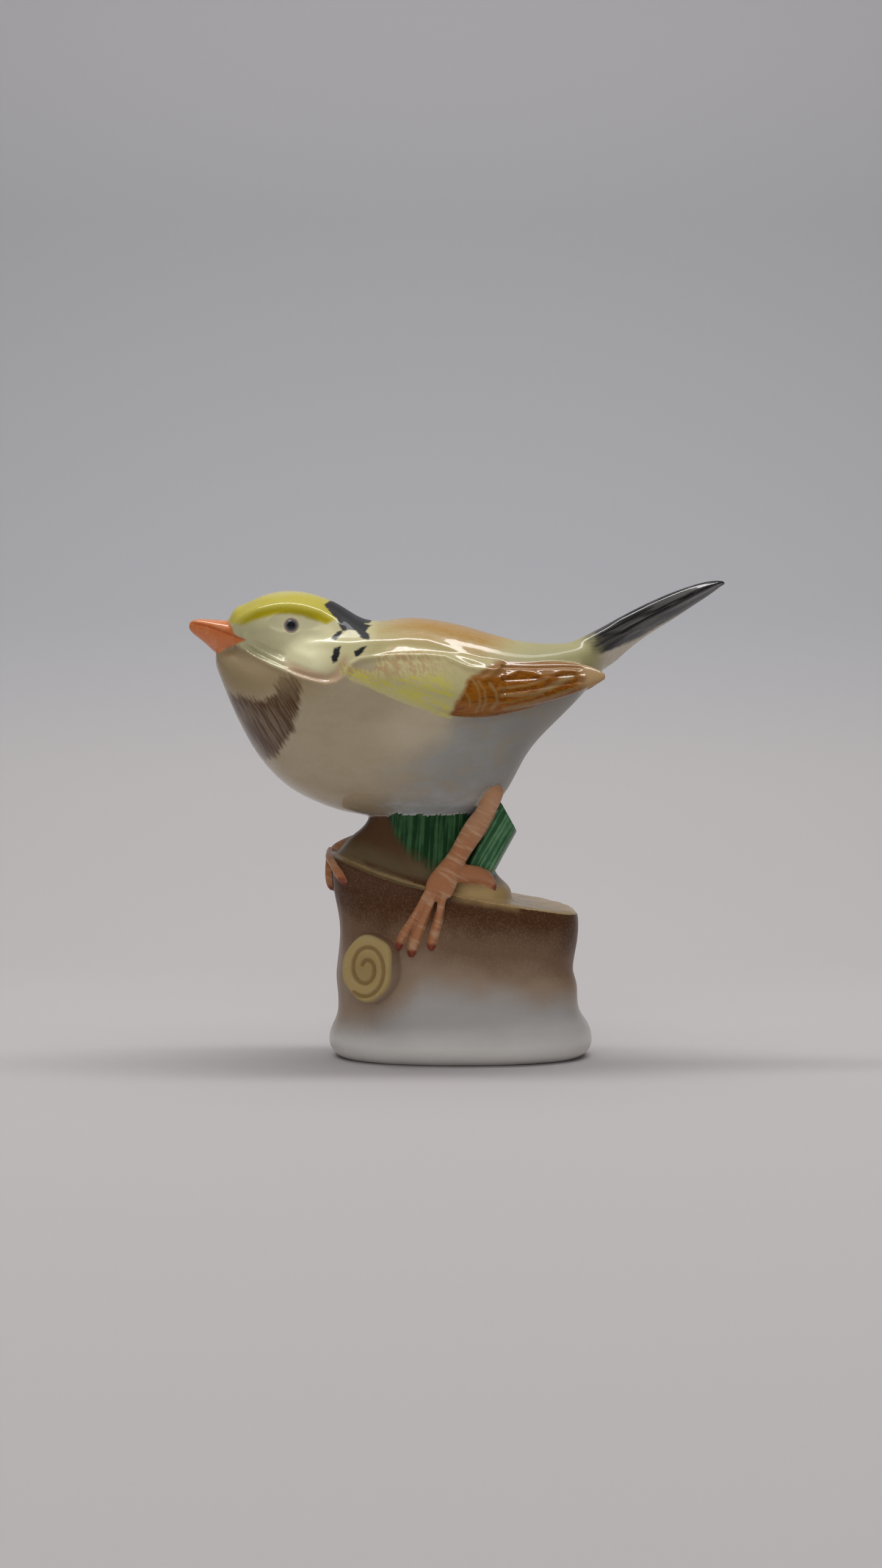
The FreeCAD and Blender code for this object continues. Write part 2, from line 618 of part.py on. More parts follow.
# ---------------------------------------------------------------- leaves
def fluted_outline(half_width, depth, flutes, crown, flute_depth):
    """Points round a slab with round flutes along its crowned front, as (a, b) pairs."""
    step = half_width / flutes
    side_steps = 3
    fronts = []
    for i in range(1, 2 * flutes):
        a = step * i - half_width
        fronts.append((a, crown * (a / half_width) ** 2 - (flute_depth if i % 2 else 0.0)))
    right = [(half_width, crown + (depth - crown) * (k + 0.5) / side_steps) for k in range(side_steps)]
    back = [(-a, depth) for a, b in fronts]
    left = [(-a, depth + crown - b) for a, b in right]
    return fronts + right + back + left


def fluted_slab(centres, half_width, depth, across, flutes, crown):
    """A leaf's slab through centres of its front; its flutes get shallower where it narrows."""
    wires = []
    for centre, grow in centres:
        outline = fluted_outline(half_width * grow, depth, flutes, crown * grow, FLUTE_DEPTH * grow)
        wires.append(closed_curve([centre + across * a + Vector(0, b, 0) for a, b in outline]))
    return loft(wires)


def front_leaf_blank():
    across = Vector(1, 0, 0)
    return fluted_slab(
        FRONT_LEAF, FRONT_LEAF_HALF_WIDTH, FRONT_LEAF_DEPTH, across, FRONT_LEAF_FLUTES, FRONT_LEAF_CROWN)


def tail_leaf_blank():
    ahead = TAIL_LEAF[-1][0] - TAIL_LEAF[0][0]
    ahead.normalize()
    across = Vector(ahead.z, 0, -ahead.x)
    blade = fluted_slab(
        TAIL_LEAF, TAIL_LEAF_HALF_WIDTH, TAIL_LEAF_DEPTH, across, TAIL_LEAF_FLUTES, TAIL_LEAF_CROWN)
    upper, lower = TAIL_LEAF_TRIM
    along = lower - upper
    along.normalize()
    beyond = Vector(-along.z, 0, along.x) * REACH
    a, b = upper - along * REACH, lower + along * REACH
    side = [p - Vector(0, REACH / 2, 0) for p in (a, b, b + beyond, a + beyond, a)]
    return blade.cut(Part.Face(Part.makePolygon(side)).extrude(Vector(0, REACH, 0)))


# ---------------------------------------------------------------- feet
def front_reach(x, z):
    """The y of the stump's front face."""
    left, right, depth, squareness = [f(z) for f in STUMP_AT]
    share = min(abs(x - (left + right) / 2) / ((right - left) / 2), 1.0)
    return -depth * (1 - share ** squareness) ** (1 / squareness)


def end_reach(y, z):
    """The x of the stump's left end."""
    left, right, depth, squareness = [f(z) for f in STUMP_AT]
    share = min(abs(y) / depth, 1.0)
    return (left + right) / 2 - (right - left) / 2 * (1 - share ** squareness) ** (1 / squareness)


def front_toe(stations):
    """A toe down the front of the stump."""
    proud = 1 - TOE_SUNK
    return limb([(x, front_reach(x, z) - r * proud, z, r, r) for x, z, r in stations])


def end_toe(stations):
    """A toe over the stump's left end."""
    proud = 1 - TOE_SUNK
    return limb([(end_reach(y, z) - r * proud, y, z, r, r) for y, z, r in stations], Vector(0, 1, 0))


def build():
    bird = bird_skin()
    perch = stump_outside().cut(bird)
    left_eye = fitted(eye(bird))
    left_wing = fitted(wing_blank(), bird)
    right_wing = mirrored(left_wing)
    front_leaf = fitted(front_leaf_blank(), bird, perch)
    tail_leaf = fitted(tail_leaf_blank(), bird, perch, front_leaf)
    left_leg = fitted(limb(LEFT_LEG), bird, perch, front_leaf, tail_leaf)
    right_leg = fitted(limb(RIGHT_LEG), bird, perch, front_leaf)
    left_toes = [fitted(front_toe(stations), perch, left_leg) for stations in LEFT_FRONT_TOES]
    right_toes = [fitted(end_toe(stations), perch, right_leg) for stations in RIGHT_FRONT_TOES]
    left_hind = limb(LEFT_HIND_TOE, Vector(0, 0, 1))
    right_hind = limb(RIGHT_HIND_TOE, Vector(0, 0, 1))
    return {
        "bird_body": bird_body(bird),
        "beak": fitted(beak(bird)),
        "left_eye": left_eye,
        "right_eye": mirrored(left_eye),
        "left_wing": left_wing,
        "right_wing": right_wing,
        "tail": fitted(tail_blank(), bird, left_wing, right_wing),
        "stump": stump(perch),
        "branch_stub": fitted(branch_stub(perch)),
        "front_leaf": front_leaf,
        "tail_leaf": tail_leaf,
        "left_leg": left_leg,
        "right_leg": right_leg,
        "left_front_toes": Part.makeCompound(left_toes),
        "right_front_toes": Part.makeCompound(right_toes),
        "left_hind_toe": fitted(left_hind, perch, front_leaf, tail_leaf, left_leg),
        "right_hind_toe": fitted(right_hind, perch, bird, right_leg),
    }


os.makedirs("parts", exist_ok=True)
for name, shape in build().items():
    shape.exportStep(f"parts/{name}.step")
    print(f"{name:18} solids {len(shape.Solids)} volume {shape.Volume:9.2f} valid {shape.isValid()}")
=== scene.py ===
import json
import math

import bpy
import numpy as np
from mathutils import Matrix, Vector
from mathutils.bvhtree import BVHTree


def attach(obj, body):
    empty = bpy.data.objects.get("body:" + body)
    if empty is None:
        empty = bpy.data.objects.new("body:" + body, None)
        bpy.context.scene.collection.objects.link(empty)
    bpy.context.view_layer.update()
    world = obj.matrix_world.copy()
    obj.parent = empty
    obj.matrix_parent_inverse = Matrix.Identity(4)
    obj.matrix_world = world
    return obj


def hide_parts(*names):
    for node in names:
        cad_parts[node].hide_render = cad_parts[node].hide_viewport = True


# A painted porcelain songbird on a tree stump. Every piece is fired under one glaze, so the pieces are
# first joined in one skin whose seams are softened, the skin is modelled with fine relief, and then it
# is parted again into one shown piece for each piece of the assembly. Lengths are in millimetres here
# and become metres when a mesh is made. Left and right are the bird's own.

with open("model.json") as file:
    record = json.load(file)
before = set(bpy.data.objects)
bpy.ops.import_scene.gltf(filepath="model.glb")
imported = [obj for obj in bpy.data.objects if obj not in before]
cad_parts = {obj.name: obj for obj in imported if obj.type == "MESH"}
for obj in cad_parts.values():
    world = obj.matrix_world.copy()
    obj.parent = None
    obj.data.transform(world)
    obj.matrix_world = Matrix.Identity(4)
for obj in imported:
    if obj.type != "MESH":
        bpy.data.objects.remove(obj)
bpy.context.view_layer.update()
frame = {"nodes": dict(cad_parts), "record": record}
MM = 0.001

# ---------------------------------------------------------------- sizes
SKIN_STEP = 0.25              # spacing of the skin's points
SEAM_ROUNDS = 6               # rounds of smoothing that run the seams together
SHRINK_GUARD = 0.53           # how far each of those rounds is pushed back out
BLEND_ROUNDS = 8              # rounds that soften the borders between zones
SOFT_ROUNDS = 70              # more rounds where two forms melt into each other
VENT_STOPPER = (6.0, 0.0, 3.2)     # blocks the base vent while the skin is taken
STOPPER_SIZE = 5.0

BIRD_NODES = ["bird_body", "beak", "left_eye", "right_eye", "left_wing", "right_wing", "tail"]
SLOT_OF = {row["node"]: row["material_slot"] for row in frame["record"]["subparts"]}

EYE = (-30.5, 78.5)
EYE_RING = 1.4
IRIS_EDGE = 1.05
PUPIL = 0.72

# Places on the bird's side as (x, z) points. Both sides are painted alike.
BEAK_PAINT = [
    (-52, 83), (-42.9, 80.7), (-42.4, 79.6), (-41.7, 78.6), (-41.1, 77.3), (-38.7, 76.0), (-40.6, 75.5),
    (-42.4, 75.0), (-44.4, 74.1), (-45.6, 73.2), (-47, 70), (-53, 74),
]
GAPE = [(-49.6, 79.8), (-46.8, 79.1), (-44.6, 78.3), (-42.3, 77.4), (-38.8, 76.1)]
BROW_RIDGE = [
    (-41.6, 77.9), (-40.9, 78.7), (-40.1, 79.7), (-38.7, 80.6), (-36.8, 81.4), (-34.7, 81.9), (-32.7, 82.2),
    (-30.5, 82.2), (-28.4, 81.9), (-25.4, 81.0), (-23.9, 80.1), (-22.6, 79.3), (-21.8, 78.4),
]
CROWN_EDGE = [
    (-43.0, 79.8), (-41.3, 79.0), (-39.2, 79.2), (-36.2, 80.0), (-33.6, 80.7), (-31.0, 80.7), (-28.5, 80.3),
    (-25.8, 79.4), (-24.1, 78.9), (-22.6, 79.4), (-21.0, 80.6),
]
BROW_STRIPE = [
    (-40.2, 78.9), (-39.2, 79.8), (-36.8, 81.1), (-34.7, 81.5), (-32.1, 81.8), (-29.5, 81.6), (-27.4, 81.2),
    (-25.4, 80.6), (-23.5, 79.5), (-24.1, 78.8), (-25.8, 79.3), (-28.5, 80.2), (-31.0, 80.6), (-33.6, 80.6),
    (-36.2, 79.9), (-38.6, 79.1),
]
JAW_RIDGE = [(-39.2, 76.6), (-38.6, 76.1), (-36.7, 74.3), (-34.0, 72.7), (-31.8, 71.7)]
CHEEK_ROLL = [(-36.5, 77.4), (-33.6, 76.6), (-31.4, 75.2), (-29.8, 73.6), (-27.0, 72.4)]
# The rolled lower edge of the cheek and the neck's ruff, which runs on as the wing's upper edge
RUFF_ROLL = [
    (-41.3, 75.8), (-40.7, 75.3), (-37.3, 73.2), (-33.9, 71.2), (-30.7, 69.8), (-28.1, 68.7), (-26.0, 68.0),
    (-23.9, 67.5), (-21.9, 67.8), (-20.7, 68.7), (-20.0, 70.0), (-19.3, 71.1), (-17.9, 71.9), (-16.0, 72.2),
    (-12.9, 72.5), (-9.9, 72.6), (-6.4, 72.7), (-2.9, 72.4), (-0.6, 71.3), (1.2, 70.5), (3.8, 70.1),
    (6.2, 70.1),
]
RUFF = RUFF_ROLL[:12] + [(-15.0, 74.2), (-15.0, 90.0), (-44.0, 90.0), (-44.0, 77.0)]
NECK_ROLL = [
    (-27.0, 75.0), (-23.1, 75.1), (-19.0, 74.9), (-15.0, 75.2), (-12.6, 75.3), (-9.7, 75.6), (-6.0, 75.4),
    (-2.4, 74.1), (0.2, 72.8), (1.8, 72.0), (4.0, 71.0),
]
NAPE = [
    [(-24.9, 82.5), (-24.0, 83.6), (-20.0, 86.0), (-15.8, 80.4), (-16.5, 79.1), (-17.3, 79.0), (-16.0, 78.6),
     (-16.6, 77.9), (-17.0, 77.3), (-16.3, 76.5), (-16.2, 75.5), (-17.6, 75.8), (-18.2, 76.4), (-18.9, 77.3),
     (-19.8, 77.6), (-21.2, 77.3), (-21.9, 78.2), (-22.1, 79.0), (-22.5, 79.8), (-23.6, 80.9)],
    [(-21.1, 77.7), (-22.2, 77.3), (-23.2, 76.4), (-23.6, 75.6), (-22.3, 75.6), (-21.5, 76.5)],
    [(-21.3, 74.5), (-22.7, 74.2), (-22.8, 72.9), (-23.2, 72.3), (-22.8, 71.2), (-21.8, 71.6), (-21.5, 72.9)],
    [(-16.6, 74.5), (-17.8, 74.2), (-19.1, 73.5), (-18.7, 72.3), (-17.9, 72.6), (-17.3, 73.4)],
]
BIB = [
    (-46.0, 68.0), (-41.2, 66.4), (-39.9, 66.0), (-37.6, 65.6), (-35.7, 65.2), (-34.3, 65.2), (-33.2, 66.3),
    (-33.3, 67.5), (-32.5, 68.8), (-31.5, 69.6), (-30.2, 69.5), (-28.6, 68.8), (-27.6, 68.0), (-27.8, 66.7),
    (-28.3, 64.9), (-28.8, 62.4), (-29.4, 59.9), (-30.7, 57.6), (-32.1, 56.0), (-33.5, 54.4), (-38.0, 54.5),
    (-46.0, 60.0),
]
FLIGHTS = [
    (-2.8, 60.0), (-2.2, 62.0), (-1.7, 62.9), (-1.0, 64.2), (-0.2, 65.4), (0.6, 67.2), (1.0, 68.2),
    (1.8, 69.0),
    (3.0, 69.6), (4.6, 70.8), (5.9, 71.8), (7.7, 72.2), (12.9, 72.4), (19.1, 72.3), (23.3, 71.6),
    (30.0, 72.0),
    (30.0, 60.0),
]
UPPER_VANES = [
    (3.8, 68.3), (6.5, 68.7), (8.7, 69.2), (10.2, 69.9), (12.8, 69.7), (14.3, 69.0), (15.9, 69.0),
    (18.0, 69.9),
    (20.1, 69.9), (22.1, 69.1), (27.0, 67.0),
]
# Pale lines of the flight feathers, then of the coverts: (half width, points)
FLIGHT_LINES = [
    (0.15, [(6.6, 66.8), (9.1, 67.1), (11.7, 67.5), (13.8, 68.2), (15.4, 68.8)]),
    (0.30, [(7.1, 65.6), (10.1, 65.7), (13.2, 66.0), (15.8, 67.0), (17.9, 68.1), (20.0, 69.2)]),
    (0.10, [(6.5, 64.2), (9.1, 64.5), (11.6, 65.1), (14.5, 65.9)]),
    (0.26, [(7.6, 63.2), (11.7, 64.1), (15.8, 65.4), (20.0, 67.0), (23.1, 68.4)]),
]
GREY_VANE = [(12.5, 66.1), (16.0, 67.9), (18.2, 69.2), (19.6, 69.8), (20.4, 69.4), (18.2, 67.9), (15.8, 66.7)]
COVERT_ARCS = [
    (0.12, [(0.6, 65.9), (1.4, 64.9), (1.5, 63.5)]),
    (0.15, [(1.8, 68.5), (2.8, 67.0), (3.2, 65.4), (3.2, 64.0), (2.5, 62.5)]),
    (0.15, [(3.0, 68.0), (4.0, 66.5), (4.3, 64.5), (3.6, 62.9)]),
    (0.24, [(5.0, 67.6), (6.1, 66.0), (6.3, 64.5), (5.3, 63.2)]),
]
# Ridges where the wing feathers fold over each other
WING_FOLDS = [
    [(3.8, 68.3), (4.8, 68.8), (5.6, 69.5), (6.6, 70.4)],
    [(6.5, 68.6), (8.7, 69.3), (10.2, 70.1), (12.8, 69.8), (14.3, 69.0), (15.9, 69.1), (18.0, 70.2),
     (20.1, 70.2), (22.1, 69.2)],
]
YELLOW_EDGE = [
    (-21.5, 71.6), (-17.5, 70.4), (-13.0, 68.8), (-8.0, 69.6), (-3.0, 69.6), (-0.6, 66.4), (-1.8, 61.4),
    (-4.1, 61.8), (-5.9, 62.6), (-9.9, 64.2), (-13.9, 65.9), (-16.9, 67.2), (-19.4, 68.2), (-21.5, 69.6),
]
MANTLE = [
    (-15.8, 84.0), (-15.8, 77.4), (-14.5, 76.0), (-9.5, 75.6), (-6.5, 75.6), (-2.4, 74.6), (1.0, 73.4),
    (4.0, 73.2), (7.0, 74.2), (9.5, 75.6), (10.5, 84.0),
]
TAIL_LIMIT = [
    (20.0, 72.0), (24.0, 73.0), (28.0, 74.6), (32.0, 76.4), (36.0, 78.7), (42.0, 82.0), (50.0, 86.6),
]
TAIL_LINES = [
    [(24.0, 74.6), (32.0, 78.6), (40.0, 82.4), (48.0, 86.6)],
    [(26.0, 76.9), (34.0, 80.9), (42.0, 84.4), (48.0, 86.9)],
]
# The left edge of the front leaf's paint
LEAF_EDGE = [
    (-14.0, 45.0), (-12.8, 42.3), (-11.6, 40.0), (-9.8, 37.3), (-7.9, 36.1), (-5.0, 34.4), (2.0, 33.0),
]
# Where the bark's colour ends above the white plinth, from left to right
BARK_EDGE = [
    (-26.0, 5.0), (-20.0, 5.4), (-16.0, 6.2), (-12.0, 8.8), (-7.0, 13.0), (0.0, 12.4), (6.0, 11.4),
    (12.0, 10.4), (18.0, 9.8), (25.0, 7.0),
]
# The rim of the sawn top
SAWN_EDGE = [
    (-26.0, 38.6), (-22.0, 37.0), (-18.0, 35.4), (-14.0, 33.9), (-10.0, 32.7), (-6.0, 31.8), (0.0, 30.6),
    (8.0, 29.2), (14.0, 28.2), (26.0, 26.0),
]
# Toe tips, which carry the claws
CLAWS = {
    "left_front_toes": [(-11.2, -13.4, 20.9), (-8.85, -13.6, 19.7), (-5.3, -13.4, 20.8)],
    "right_front_toes": [(-21.6, -9.2, 32.3), (-23.8, -0.3, 30.7), (-23.6, 5.85, 31.1)],
    "left_hind_toe": [(6.1, -9.1, 31.4)],
    "right_hind_toe": [(-10.2, 10.1, 34.6)],
}
STUB_CENTRE = np.array([-16.9, -14.9, 17.4])
STUB_OUTWARD = np.array([-0.33, -0.94, 0.06])
STUB_OUTWARD /= np.linalg.norm(STUB_OUTWARD)
SPIRAL_HALF = (3.9, 5.1)
SPIRAL_EYE, SPIRAL_TURNS, SPIRAL_START = 0.22, 1.75, 0.6
SPIRAL_STEPS = 90
CLAW_REACH = 1.05
GAPE_HALF, SPIRAL_LINE_HALF = 0.22, 0.45

# How high a modelling tool leaves each line, below zero for a groove, and how wide
SKIN_SWELL, SKIN_SWELL_LENGTH = 0.02, 7.0
BARK_SWELL, BARK_SWELL_LENGTH = 0.04, 3.2
BARK_STRETCH = (1.0, 1.0, 0.35)
BROW_TOOL = (0.36, 0.85)
JAW_TOOL = (0.30, 0.50)
CHEEK_TOOL = (0.14, 1.00)
RUFF_TOOL = (0.26, 0.55)
NECK_TOOL = (0.16, 0.80)
GAPE_TOOL = (-0.10, 0.35)
FOLD_TOOL = (0.20, 0.50)
TAIL_TOOL = (-0.08, 0.30)
SPIRAL_TOOL = (-0.14, 0.35)
RUFF_HOLLOW, RUFF_HOLLOW_DEPTH = (-0.16, 0.80), 1.5
EYE_TOOL, EYE_TOOL_GAP = (0.14, 0.35), 0.2
FEATHER_RISE, FEATHER_MARGIN = 0.035, 0.25

# Spans on the skin, each from where an effect starts to where it is full: x along the bird, y across, z up
FLANK_TILT = (0.25, 0.6)
HEAD_X = (-20.0, -23.0)
SHOULDER_FRONT_X, SHOULDER_BACK_X = (-26.0, -22.0), (1.0, -6.0)
SHOULDER_Y, SHOULDER_Z = (8.0, 10.0), (59.0, 61.0)
RUMP_SEAM_X, TAIL_SEAM_X, RUMP_SEAM_Z = (19.0, 22.0), (29.0, 26.0), (69.0, 71.0)
NAPE_SEAM_FRONT_X, NAPE_SEAM_BACK_X, NAPE_SEAM_Z = (-24.0, -21.0), (-12.0, -15.0), (75.0, 77.0)
CREST_SEAM_ABOVE, CREST_SEAM_Z, CREST_SOFTNESS = (-1.6, 0.2), (46.0, 41.0), 0.85
ROUGH_BARK_Z = (6.0, 12.0)
SAWN_TILT, SAWN_LOW, SAWN_HIGH = (0.30, 0.75), (-2.2, -1.0), (3.4, 1.4)
CREST_ABOVE, CREST_Z = (0.4, 1.6), (20.0, 24.0)
CREST_FOOT_ABOVE, CREST_FOOT_Y = (-2.4, -1.4), (-12.9, -12.1)
CREST_FOOT_LEFT_X, CREST_FOOT_RIGHT_X = (-4.0, 0.0), (11.0, 9.0)

# Spans of the bird's paint
BELLY_MIDDLE, GREY_BELLY_X = 56.0, (-14.0, 4.0)
BLUE_WASH_X = (16.0, -4.0)
PALE_PATCH, PALE_PATCH_REACH = (-8.0, 60.0), 7.0
MIST_X, MIST_Z = (-16.0, -10.0), (50.0, 46.0)
UNDERBELLY_Z = (52.0, 44.0)
THROAT_X, THROAT_Z = (-20.0, -30.0), (63.0, 69.0)
NECK_X, NECK_Z = (-24.0, -16.0), (69.0, 73.5)
CHEEK_MIDDLE, CHEEK_X, GREEN_CHEEK_X = 72.0, (-36.0, -26.0), (-27.0, -20.0)
BAND_FRONT_X, BAND_BACK_X = (-33.0, -29.0), (-19.5, -21.0)
FACE_BACK_X = (-13.0, -18.0)
# The crown's span along x, then the height over which its painted highlight on top comes in
CROWN_X, CROWN_HIGHLIGHT_Z = (-20.0, -23.0), (83.4, 85.2)
BIB_TOP_Z, BIB_LEAN = (64.0, 69.0), 0.55
MANTLE_X = (-20.0, -6.0)
RUMP_X, RUMP_Z = (3.5, 15.5), (70.0, 73.0)
PEACH_Z, GREEN_COVERT_X = (66.5, 70.5), (-8.0, -2.0)
WING_TIP_X = (20.0, 23.5)
TAIL_X, TAIL_ROOT_X, TAIL_ROOT_MIDDLE = (21.0, 26.0), (23.0, 27.5), 74.0
# Where the painted highlight along the top of the beak comes in
BEAK_HIGHLIGHT_Z = (79.0, 80.4)
EYE_SIDE_Y = (4.0, 5.0)
DULL_RUMP_X, DULL_TAIL_X = (4.0, 9.0), (24.0, 20.0)
NAPE_FRONT_X, NAPE_BACK_X, NAPE_Z = (-23.0, -20.0), (-14.0, -17.0), (75.2, 76.2)

# Spans of the stump's paint; those named BELOW and ABOVE count from the rim of its sawn top
BARK_FADE = (-2.5, 4.5)
DARK_BARK_X, DARK_BARK_DROP = (-6.0, -14.0), 3.0
BARK_BELOW, PALE_BARK_BELOW = (9.0, 3.0), (9.0, 16.0)
# Where the plinth's white turns from its painted shade above to its painted light at the foot
PLINTH_PAINTED_LIGHT_Z = (8.0, 2.0)
DARK_CREST_ABOVE = (1.5, 5.5)
BARE_CREST_X, BARE_CREST_Z = (-4.0, 2.0), (34.0, 30.5)
OLIVE_TOP_X = (-2.0, -10.0)
HEART_REACH = 3.464
STUB_FACE_AHEAD = (-1.0, -0.5)
FRONT_LEAF_LEAN, TAIL_LEAF_LEAN = -0.06, -0.52
TAIL_LEAF_X = (0.5, 2.0)
PALE_LEG_Z = (38.0, 44.0)
# Where the painted shade on the wall comes in, and where it eases off towards the top
WALL_START_Z, WALL_TOP_Z = (42.0, 128.0), (290.0, 400.0)

# How patches of paint are stretched along x, y and z
EVEN = (1.0, 1.0, 1.0)
ALONG = (9.0, 1.0, 1.0)
UPRIGHT = (1.0, 1.0, 8.0)
BLADE = (1.0, 60.0, 22.0)

# The glaze itself
NOISE_ROUGHNESS = 0.55
BUMP_SHARE, BUMP_HEIGHT = 0.35, 0.25 * MM
GLAZE_IOR, GLAZE_SHINE, COAT_ROUGHNESS = 1.5, 0.2, 0.05


# ---------------------------------------------------------------- fields over points
def smoothstep(low, high, value):
    t = np.clip((value - low) / (high - low), 0.0, 1.0)
    return t * t * (3.0 - 2.0 * t)


def line_distance(x, z, path):
    """How far each point is from a polyline in the side view."""
    nearest = np.full(x.shape, 1e9)
    for (ax, az), (bx, bz) in zip(path, path[1:]):
        dx, dz = bx - ax, bz - az
        t = np.clip(((x - ax) * dx + (z - az) * dz) / (dx * dx + dz * dz), 0.0, 1.0)
        nearest = np.minimum(nearest, np.hypot(x - ax - t * dx, z - az - t * dz))
    return nearest


def depth_in(x, z, outline):
    """How deep each point lies inside a closed outline in the side view; below zero outside it."""
    inside = np.zeros(x.shape, bool)
    for (ax, az), (bx, bz) in zip(outline, outline[1:] + outline[:1]):
        crosses = (az > z) != (bz > z)
        span = bz - az if bz != az else 1e-9
        inside ^= crosses & (x < (bx - ax) * (z - az) / span + ax)
    distance = line_distance(x, z, outline + outline[:1])
    return np.where(inside, distance, -distance)


def over_line(x, z, line):
    """How high each point is over a line that runs from left to right in the side view."""
    return z - np.interp(x, *np.array(line).T)


def tooled(distance, tool):
    """The rounded rise or groove that a tool leaves, at each point's distance from its line."""
    height, width = tool
    return height * np.exp(-(distance / width) ** 2)


def ripple(points, wavelength, seed):
    """A smooth random swell over points, about -1 to 1, the same in every run."""
    rng = np.random.default_rng(seed)
    total = np.zeros(len(points))
    for _ in range(7):
        way = rng.normal(size=3)
        way *= rng.uniform(0.7, 1.4) * 2.0 * math.pi / wavelength / np.linalg.norm(way)
        total += np.sin(points @ way + rng.uniform(0.0, 2.0 * math.pi))
    return total / 3.0


# ---------------------------------------------------------------- the skin
def node_triangles(name):
    mesh = frame["nodes"][name].data
    mesh.calc_loop_triangles()
    points = np.empty(len(mesh.vertices) * 3)
    mesh.vertices.foreach_get("co", points)
    corners = np.empty(len(mesh.loop_triangles) * 3, np.int32)
    mesh.loop_triangles.foreach_get("vertices", corners)
    return points.reshape(-1, 3) / MM, corners.reshape(-1, 3)


def mesh_of(name, points, faces):
    mesh = bpy.data.meshes.new(name)
    mesh.from_pydata(points.tolist(), [], faces.tolist())
    return mesh


def gathered():
    """All nodes' triangles together, and which node each triangle is from."""
    points, faces, owner, start = [], [], [], 0
    for i, name in enumerate(frame["nodes"]):
        p, f = node_triangles(name)
        points.append(p)
        faces.append(f + start)
        owner.append(np.full(len(f), i))
        start += len(p)
    return np.vstack(points), np.vstack(faces), np.concatenate(owner)


def stopper(first):
    """The corners of the block in the base vent, and its faces, whose corners are counted from first."""
    half = STOPPER_SIZE / 2
    ends = (-half, half)
    offsets = [(a, b, c / 2) for a in ends for b in ends for c in ends]
    corners = [tuple(Vector(VENT_STOPPER) + Vector(offset)) for offset in offsets]
    sides = [(0, 1, 3, 2), (4, 6, 7, 5), (0, 4, 5, 1), (2, 3, 7, 6), (0, 2, 6, 4), (1, 5, 7, 3)]
    return corners, [tuple(first + i for i in side) for side in sides]


def remeshed(points, faces):
    """An even skin of quads round everything, in one piece."""
    corners, sides = stopper(len(points))
    mesh = bpy.data.meshes.new("skin_source")
    mesh.from_pydata(points.tolist() + corners, [], faces.tolist() + sides)
    source = bpy.data.objects.new("skin_source", mesh)
    bpy.context.scene.collection.objects.link(source)
    remesh = source.modifiers.new("even", "REMESH")
    remesh.mode = "VOXEL"
    remesh.voxel_size = SKIN_STEP
    graph = bpy.context.evaluated_depsgraph_get()
    made = source.evaluated_get(graph).to_mesh()
    skin = np.empty(len(made.vertices) * 3)
    made.vertices.foreach_get("co", skin)
    edges = np.empty(len(made.edges) * 2, np.int32)
    made.edges.foreach_get("vertices", edges)
    quads = np.empty(len(made.loops), np.int32)
    made.loops.foreach_get("vertex_index", quads)
    source.evaluated_get(graph).to_mesh_clear()
    bpy.data.objects.remove(source)
    bpy.data.meshes.remove(mesh)
    return skin.reshape(-1, 3), edges.reshape(-1, 2), quads.reshape(-1, 4)


def largest_shell(points, edges, quads):
    """Only the outer skin: the part with most points, without the walls of the hollows inside."""
    label = np.arange(len(points))
    while True:
        lowest = np.minimum(label[edges[:, 0]], label[edges[:, 1]])
        merged = label.copy()
        np.minimum.at(merged, edges[:, 0], lowest)
        np.minimum.at(merged, edges[:, 1], lowest)
        merged = merged[merged]
        if (merged == label).all():
            break
        label = merged
    names, counts = np.unique(label, return_counts=True)
    keep = label == names[counts.argmax()]
    place = np.cumsum(keep) - 1
    return points[keep], place[edges[keep[edges[:, 0]]]], place[quads[keep[quads[:, 0]]]]


def neighbour_mean(values, edges, degree):
    """Each point's neighbours' mean of the values."""
    total = np.zeros_like(values)
    for a, b in ((0, 1), (1, 0)):
        for c in range(values.shape[1]):
            total[:, c] += np.bincount(edges[:, a], values[edges[:, b], c], len(values))
    return total / degree[:, None]


def smoothed(values, edges, rounds, shrink_guard=0.0):
    degree = np.bincount(edges.ravel(), minlength=len(values)).astype(float)
    for _ in range(rounds):
        values = values + 0.5 * (neighbour_mean(values, edges, degree) - values)
        if shrink_guard:
            values = values - shrink_guard * (neighbour_mean(values, edges, degree) - values)
    return values


def normals_of(points, quads):
    a, b, c, d = (points[quads[:, i]] for i in range(4))
    face = np.cross(c - a, d - b)
    total = np.zeros_like(points)
    for i in range(4):
        for k in range(3):
            total[:, k] += np.bincount(quads[:, i], face[:, k], len(points))
    return total / np.maximum(np.linalg.norm(total, axis=1), 1e-12)[:, None]


# ---------------------------------------------------------------- relief and paint places
def spiral_distance(points):
    """How far points of the stub's sawn face are from its spiral groove."""
    across = np.cross(STUB_OUTWARD, (0.0, 0.0, 1.0))
    across /= np.linalg.norm(across)
    up = np.cross(across, STUB_OUTWARD)
    a, b = (points - STUB_CENTRE) @ across, (points - STUB_CENTRE) @ up
    turned = np.linspace(0.0, 1.0, SPIRAL_STEPS)
    angle = 2.0 * math.pi * SPIRAL_TURNS * turned + SPIRAL_START
    share = SPIRAL_EYE + (1.0 - SPIRAL_EYE) * turned
    spiral_a = SPIRAL_HALF[0] * share * np.cos(angle)
    spiral_b = SPIRAL_HALF[1] * share * np.sin(angle)
    return line_distance(a, b, list(zip(spiral_a, spiral_b)))


